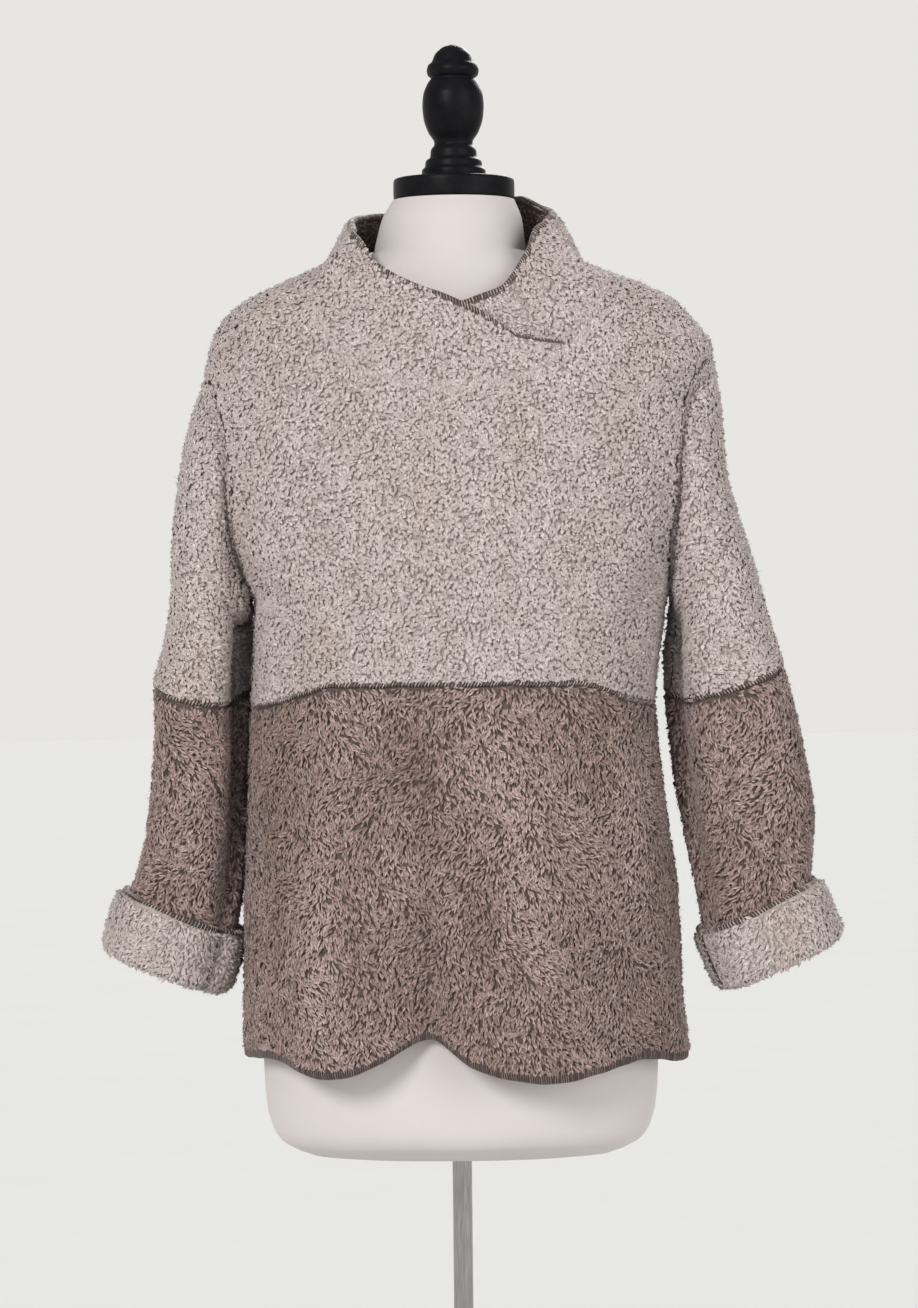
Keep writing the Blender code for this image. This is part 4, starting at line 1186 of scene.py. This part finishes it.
def sleeve_stitching(side, seed):
    sewing = Sewing(seed)
    path, out, into = sleeve_line(side, 1.0, 0.98)
    profile = raised_seam(SLEEVE_BAND, SEAM_RISE)
    sewing.run(path - out * SEAM_SUNK, out, into, profile, closed=True, wander=1.0)
    # The armhole seam: a real seam, with its stitching kept dark as painted shade of the fold between
    # sleeve and body.
    path, out, into = sleeve_line(side, 0.006, 0.03)
    look = {"pitch": 3.2, "radius": 0.35, "closed": True, "wander": 0.2, "sheen": (0.0, 0.2)}
    sewing.run(path - out * SEAM_SUNK, out, into, raised_seam(2.4, 0.5), **look)
    for low, high in ((0.03, 0.985), (1.015, 1.815)):
        line, out = seam_line(side, np.linspace(low, high, SEAM_STEPS))
        sink_seam(sewing, line, out, 2.1, 0.6)
    return sewing.make(f"sleeve_stitching_{side}")


# The dress form and its stand


def loft(name, rings, material, node):
    """A closed solid through rings of equal count, with a fan on each end, in place of a node."""
    count, levels = len(rings[0]), len(rings)
    points = np.concatenate([*rings, [rings[0].mean(axis=0)], [rings[-1].mean(axis=0)]])
    low, high = len(points) - 2, len(points) - 1
    sides = quads(levels, count, closed=True)
    k, start = np.arange(count), (levels - 1) * count
    fan_low = np.stack([np.full(count, low), (k + 1) % count, k], axis=-1)
    fan_high = np.stack([np.full(count, high), start + k, start + (k + 1) % count], axis=-1)
    faces = np.concatenate([sides[:, [0, 3, 2]], sides[:, [0, 2, 1]], fan_low, fan_high])
    placed = new_object(name, points, faces, [material])
    placed.data.set_sharp_from_angle(angle=np.radians(38))
    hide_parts(node)


def round_ring(radius, height, count=TURNED_SIDES, centre_x=0.0):
    return at_radius(radius, full_turn(count), height) + (centre_x, 0, 0)


def form_radius(angle, height):
    """The form's own radius at angles and heights below the neck."""
    side, front, back, squareness = (
        read(FORM, "height", name, height) for name in ("side", "front", "back", "squareness")
    )
    return oval_radius(angle, side, np.where(np.sin(angle) < 0, front, back), squareness)


def form_shoulder_ring(height):
    """Just inside the cloth's inner face at the shoulders, and the form's own face elsewhere."""
    angle = full_turn(FORM_AROUND)
    heights = np.full(angle.shape, float(height))
    inside = PLUSH + SHOULDER_CLEARANCE
    points = body_point(angle, heights) - body_normals(angle, heights) * inside
    reach = np.linalg.norm(points[:, :2], axis=1)
    points[:, :2] *= np.minimum(1, form_radius(angle, points[:, 2]) / reach)[:, None]
    return points


def dress_form():
    angle = full_turn(FORM_AROUND)
    rings = []
    for (side, front, back), height in FORM_EDGE:
        depth = np.where(np.sin(angle) < 0, front, back)
        rings.append(at_radius(oval_radius(angle, side, depth, BODY_SQUARENESS), angle, height))
    for height in np.concatenate([np.linspace(696, 716, 9), np.linspace(728, 1300, 40)]):
        rings.append(at_radius(form_radius(angle, height), angle, height))
    rings.extend(form_shoulder_ring(height) for height in np.linspace(*FORM_SHOULDER_SPAN, 24))
    neck = np.linspace(FORM_NECK["height"][0] - 2, FORM_NECK["height"][-1], 10)
    for height in neck:
        radius, centre = (read(FORM_NECK, "height", name, height) for name in ("radius", "centre"))
        rings.append(round_ring(radius, height, FORM_AROUND, centre))
    loft("form_torso_jersey", rings, "torso_jersey", "form_torso")


def turned(profile, height):
    """Rings of a turned profile of (radius, above) pairs, each corner a little rounded."""
    points = np.array(profile, float)
    for _ in range(2):
        cut = [points[0]]
        for a, b in zip(points[:-1], points[1:]):
            cut += [a * 0.82 + b * 0.18, a * 0.18 + b * 0.82]
        points = np.array([*cut, points[-1]])
    return [round_ring(radius, height + above, centre_x=FINIAL_CENTRE) for radius, above in points]


def dress_cap_and_finial():
    bottom = FORM_NECK["height"][-1] + SEAM_GAP
    cap = (
        (CAP_RADIUS - 2.4, 0),
        (CAP_RADIUS - 0.2, 0.6),
        (CAP_RADIUS, 3.2),
        (CAP_RADIUS, CAP_THICKNESS - 3.6),
        (CAP_RADIUS - 0.6, CAP_THICKNESS - 0.8),
        (CAP_RADIUS - 2.8, CAP_THICKNESS),
    )
    loft("neck_cap_turned", turned(cap, bottom), "turned_wood", "neck_cap")
    profile = [*zip(FINIAL_PROFILE["radius"], FINIAL_PROFILE["above_cap"]), (1.5, FINIAL_HEIGHT)]
    rings = turned(profile, bottom + CAP_THICKNESS + SEAM_GAP)
    loft("finial_turned", rings, "turned_wood", "finial")


def dress_stand():
    ends = (FOOT_MIDDLE + SEAM_GAP, FORM_BOTTOM - SEAM_GAP)
    rings = [round_ring(POLE_RADIUS, height) for height in ends]
    loft("pole_tube", rings, "steel", "pole")
    bore = POLE_RADIUS + SEAM_GAP
    profile = (
        (FOOT_RADIUS - 2, 0),
        (FOOT_RADIUS, 2),
        (FOOT_RADIUS, FOOT_EDGE - 2),
        (FOOT_RADIUS - 3, FOOT_EDGE),
        (0.6 * FOOT_RADIUS, FOOT_EDGE + 3.5),
        (HUB_RADIUS + 6, FOOT_MIDDLE),
        (HUB_RADIUS, FOOT_MIDDLE + 4),
        (HUB_RADIUS - 1, HUB_HEIGHT - 1.5),
        (HUB_RADIUS - 2.5, HUB_HEIGHT),
        (bore, HUB_HEIGHT),
        (bore, FOOT_MIDDLE),
    )
    rings = [round_ring(radius, height, 2 * TURNED_SIDES) for radius, height in profile]
    loft("foot_plate", rings, "plate_metal", "base_plate")


# Materials


def new_material(name, roughness, metallic=0.0, sheen=0.0):
    material = bpy.data.materials.new(name)
    material.use_nodes = True
    tree = material.node_tree
    shader = tree.nodes["Principled BSDF"]
    shader.inputs["Roughness"].default_value = roughness
    shader.inputs["Metallic"].default_value = metallic
    shader.inputs["Sheen Weight"].default_value = sheen
    shader.inputs["Sheen Roughness"].default_value = 0.5
    return tree, shader


def feed(tree, socket, value):
    """Links a socket to another socket, or sets it to a plain value."""
    if isinstance(value, bpy.types.NodeSocket):
        tree.links.new(value, socket)
    else:
        socket.default_value = value


def add_node(tree, kind, output, **inputs):
    node = tree.nodes.new("ShaderNode" + kind)
    for name, value in inputs.items():
        feed(tree, node.inputs[name], value)
    return node.outputs[output]


def ramp_between(tree, source, *stops):
    node = tree.nodes.new("ShaderNodeValToRGB")
    elements = node.color_ramp.elements
    while len(elements) < len(stops):
        elements.new(0.5)
    for element, (place, colour) in zip(elements, stops):
        element.position = place
        element.color = (*colour, 1.0)
    tree.links.new(source, node.inputs["Fac"])
    return node.outputs["Color"]


def paint(tree, shader, source, *stops):
    tree.links.new(ramp_between(tree, source, *stops), shader.inputs["Base Color"])


def noise(tree, vector, scale, detail=3.0, roughness=0.55):
    look = {"Vector": vector, "Scale": scale, "Detail": detail, "Roughness": roughness}
    return add_node(tree, "TexNoise", "Fac", **look)


def object_place(tree):
    return add_node(tree, "TexCoord", "Object")


def drawn_out(tree, up):
    """Places on the object, with what is made from them longer upwards where up is below 1."""
    return add_node(tree, "Mapping", "Vector", Vector=object_place(tree), Scale=(1.0, 1.0, up))


def attribute(tree, name):
    node = tree.nodes.new("ShaderNodeAttribute")
    node.attribute_name = name
    return node.outputs["Fac"]


def maths(tree, operation, *values):
    node = tree.nodes.new("ShaderNodeMath")
    node.operation = operation
    for socket, value in zip(node.inputs, values):
        feed(tree, socket, value)
    return node.outputs[0]


def multiplied(tree, share, first, second):
    node = tree.nodes.new("ShaderNodeMix")
    node.data_type, node.blend_type = "RGBA", "MULTIPLY"
    for socket, value in zip((node.inputs["Factor"], *node.inputs[6:8]), (share, first, second)):
        feed(tree, socket, value)
    return node.outputs[2]


def bump(tree, shader, height, strength, distance):
    normal = add_node(tree, "Bump", "Normal", Height=height, Strength=strength, Distance=distance)
    tree.links.new(normal, shader.inputs["Normal"])


def pile_material(name, root, middle, tip, tones, patches, patch_scale, sheen):
    """Locks darker at the root than at the tip, each a little different, with fibres along them."""
    tree, shader = new_material(name, 0.92, sheen=sheen)
    along, across, tone = (attribute(tree, key) for key in ("along", "across", "tone"))
    shaft = ramp_between(tree, along, (0.0, root), (0.45, middle), (1.0, tip))
    own = ramp_between(tree, tone, (0.0, tones[0]), (1.0, tones[1]))
    varied = multiplied(tree, 1.0, shaft, own)
    cloud = noise(tree, drawn_out(tree, 0.45), patch_scale)
    patch = ramp_between(tree, cloud, (0.3, patches[0]), (0.7, patches[1]))
    clouded = multiplied(tree, 1.0, varied, patch)
    strands = {"X": (across, 2.3), "Y": (along, 0.9), "Z": (tone, 60.0)}
    strands = {axis: maths(tree, "MULTIPLY", *pair) for axis, pair in strands.items()}
    fibre = noise(tree, add_node(tree, "CombineXYZ", "Vector", **strands), 1.6, 2.0)
    streaks = ramp_between(tree, fibre, (0.36, (0.46, 0.42, 0.405)), (0.58, (1.09, 1.09, 1.09)))
    tree.links.new(multiplied(tree, 0.9, clouded, streaks), shader.inputs["Base Color"])
    bump(tree, shader, fibre, 0.5, 0.0012)


def cloth_material(name, low, high, scale=900.0):
    """The knitted ground between the locks, or a hidden face's pile seen as a fine curly surface."""
    tree, shader = new_material(name, 0.96, sheen=0.15)
    place = object_place(tree)
    fine = maths(tree, "MULTIPLY", noise(tree, place, scale, 4.0, 0.65), 0.6)
    mottled = maths(tree, "MULTIPLY_ADD", noise(tree, place, scale / 6, 2.0), 0.45, fine)
    paint(tree, shader, mottled, (0.34, low), (0.72, high))
    bump(tree, shader, mottled, 0.8, 0.002)


def thread_materials():
    tree, shader = new_material("thread", 0.42, sheen=0.1)
    tone = attribute(tree, "tone")
    paint(tree, shader, tone, (0.0, THREAD_DARK), (0.55, THREAD_MIDDLE), (1.0, THREAD_LIGHT))
    bump(tree, shader, noise(tree, object_place(tree), 2600.0, 2.0), 0.5, 0.0004)
    tree, shader = new_material("thread_ground", 0.85)
    speck = noise(tree, object_place(tree), 1300.0)
    paint(tree, shader, speck, (0.35, (0.02, 0.014, 0.012)), (0.7, (0.09, 0.064, 0.054)))
    bump(tree, shader, speck, 0.6, 0.0006)


def jersey_material():
    tree, shader = new_material("torso_jersey", 0.82, sheen=0.12)
    place = object_place(tree)
    wales = add_node(tree, "TexWave", "Fac", Vector=place, Scale=420.0, Distortion=1.5, Detail=1.0)
    both = maths(tree, "ADD", maths(tree, "MULTIPLY", wales, 0.35), noise(tree, place, 1500.0))
    paint(tree, shader, noise(tree, place, 9.0, 2.0), (0.3, JERSEY_LOW), (0.7, JERSEY_HIGH))
    bump(tree, shader, both, 0.35, 0.0006)


def wood_material():
    tree, shader = new_material("turned_wood", 0.34)
    place = object_place(tree)
    shader.inputs["Specular IOR Level"].default_value = 0.05
    worn = noise(tree, place, 60.0, 4.0)
    paint(tree, shader, worn, (0.3, (0.0045, 0.0048, 0.006)), (0.75, (0.011, 0.011, 0.012)))
    feed(tree, shader.inputs["Roughness"], maths(tree, "MULTIPLY_ADD", worn, 0.25, 0.24))
    bump(tree, shader, noise(tree, place, 420.0), 0.18, 0.0006)


def metal_material(name, roughness, low, high, metallic):
    tree, shader = new_material(name, roughness, metallic)
    drawn = noise(tree, drawn_out(tree, 0.05), 900.0)
    paint(tree, shader, drawn, (0.3, low), (0.7, high))
    uneven = maths(tree, "MULTIPLY_ADD", drawn, 0.12, roughness - 0.05)
    feed(tree, shader.inputs["Roughness"], uneven)
    bump(tree, shader, drawn, 0.08, 0.0003)


def make_materials():
    light, dark = (LIGHT_ROOT, LIGHT_MIDDLE, LIGHT_TIP), (DARK_ROOT, DARK_MIDDLE, DARK_TIP)
    pile_material("light_locks", *light, LIGHT_TONES, LIGHT_PATCHES, 24.0, 0.25)
    pile_material("dark_locks", *dark, DARK_TONES, DARK_PATCHES, 15.0, 0.18)
    cloth_material("light_ground", (0.27, 0.22, 0.20), (0.53, 0.46, 0.435))
    cloth_material("dark_ground", (0.04, 0.027, 0.022), (0.18, 0.13, 0.113))
    cloth_material("light_inside", (0.20, 0.16, 0.14), (0.46, 0.40, 0.37), 500.0)
    cloth_material("dark_inside", (0.04, 0.027, 0.022), (0.15, 0.115, 0.10), 500.0)
    thread_materials()
    jersey_material()
    wood_material()
    metal_material("steel", 0.16, (0.27, 0.265, 0.26), (0.42, 0.415, 0.41), 1.0)
    metal_material("plate_metal", 0.42, (0.36, 0.36, 0.37), (0.46, 0.46, 0.47), 0.7)


# Camera, light and floor


def add_sun(name, towards, strength, spread, colour):
    """A soft light that shines from a direction, given as a point seen from the part."""
    data = bpy.data.lights.new(name, "SUN")
    data.energy, data.angle, data.color = strength, np.radians(spread), colour
    lamp = bpy.data.objects.new(name, data)
    bpy.context.scene.collection.objects.link(lamp)
    lamp.rotation_mode = "QUATERNION"
    lamp.rotation_quaternion = Vector(towards).to_track_quat("Z", "Y")


def set_stage():
    scene = bpy.context.scene
    camera = bpy.data.cameras.new("camera")
    camera.sensor_fit, camera.sensor_height = "VERTICAL", 36.0
    camera.lens = 36.0 * CAMERA_FOCUS / PHOTO_HEIGHT
    placed = bpy.data.objects.new("camera", camera)
    placed.location = CAMERA_PLACE
    placed.rotation_euler = (np.pi / 2, 0, 0)
    placed.rotation_euler.rotate_axis("Z", np.radians(CAMERA_ROLL))
    scene.collection.objects.link(placed)
    scene.camera = placed
    scene.view_settings.view_transform = "Standard"
    world = bpy.data.worlds.new("studio")
    world.use_nodes = True
    tree = world.node_tree
    split = tree.nodes.new("ShaderNodeSeparateXYZ")
    tree.links.new(tree.nodes.new("ShaderNodeTexCoord").outputs["Generated"], split.inputs[0])
    sky = ramp_between(tree, split.outputs["Z"], (0.15, WALL_COLOUR), (0.42, CEILING_COLOUR))
    tree.links.new(sky, tree.nodes["Background"].inputs["Color"])
    scene.world = world
    for row in SUNS:
        add_sun(*row)
    half = FLOOR_HALF
    points = [(-half, -half, 0), (half, -half, 0), (half, half, 0), (-half, half, 0)]
    mesh = bpy.data.meshes.new("floor")
    mesh.from_pydata(points, [], [(0, 1, 2, 3)])
    tree, shader = new_material("floor", 0.9)
    speck = noise(tree, object_place(tree), 3.0, 2.0)
    low = tuple(0.985 * value for value in FLOOR_COLOUR)
    paint(tree, shader, speck, (0.3, low), (0.7, FLOOR_COLOUR))
    shader.inputs["Specular IOR Level"].default_value = 0.0
    mesh.materials.append(bpy.data.materials["floor"])
    floor = bpy.data.objects.new("floor", mesh)
    floor.location = (0, 0, -0.0005)
    scene.collection.objects.link(floor)


# The part


def declare(node):
    """Hides the piece's own solid; its cloth, worn on the form, is shown by the shell, pile and sewing
    made for it.
    """
    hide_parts(node)


def dress():
    waist, hem = waist_stitching(), hem_stitching()
    pieces = {}
    for front, word in ((True, "front"), (False, "back")):
        for upper, part in ((True, "upper"), (False, "lower")):
            name = f"{word}_{part}"
            cloth, tufts = dress_panel(name, front, upper, 100 + 10 * front + upper)
            pieces[name] = (cloth, [tufts])
    pieces["front_upper"][1].append(waist)
    pieces["front_lower"][1].append(hem)
    for side, seed in (("right", 200), ("left", 300)):
        sewing = sleeve_stitching(side, seed)
        for upper in (True, False):
            name = ("sleeve_upper_" if upper else "sleeve_lower_") + side
            cloth, tufts = dress_sleeve(name, side, upper, seed + 10 + upper)
            pieces[name] = (cloth, [tufts, sewing] if upper else [tufts])
        cloth, tufts, edge = dress_cuff(side, seed + 20)
        pieces[f"cuff_{side}"] = (cloth, [tufts, edge])
    cloth, *others = dress_collar(400)
    pieces["collar"] = (cloth, others)
    for node, (cloth, others) in pieces.items():
        declare(node)


for existing in list(bpy.data.objects):
    bpy.data.objects.remove(existing)
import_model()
make_materials()
dress()
dress_form()
dress_cap_and_finial()
dress_stand()
set_stage()
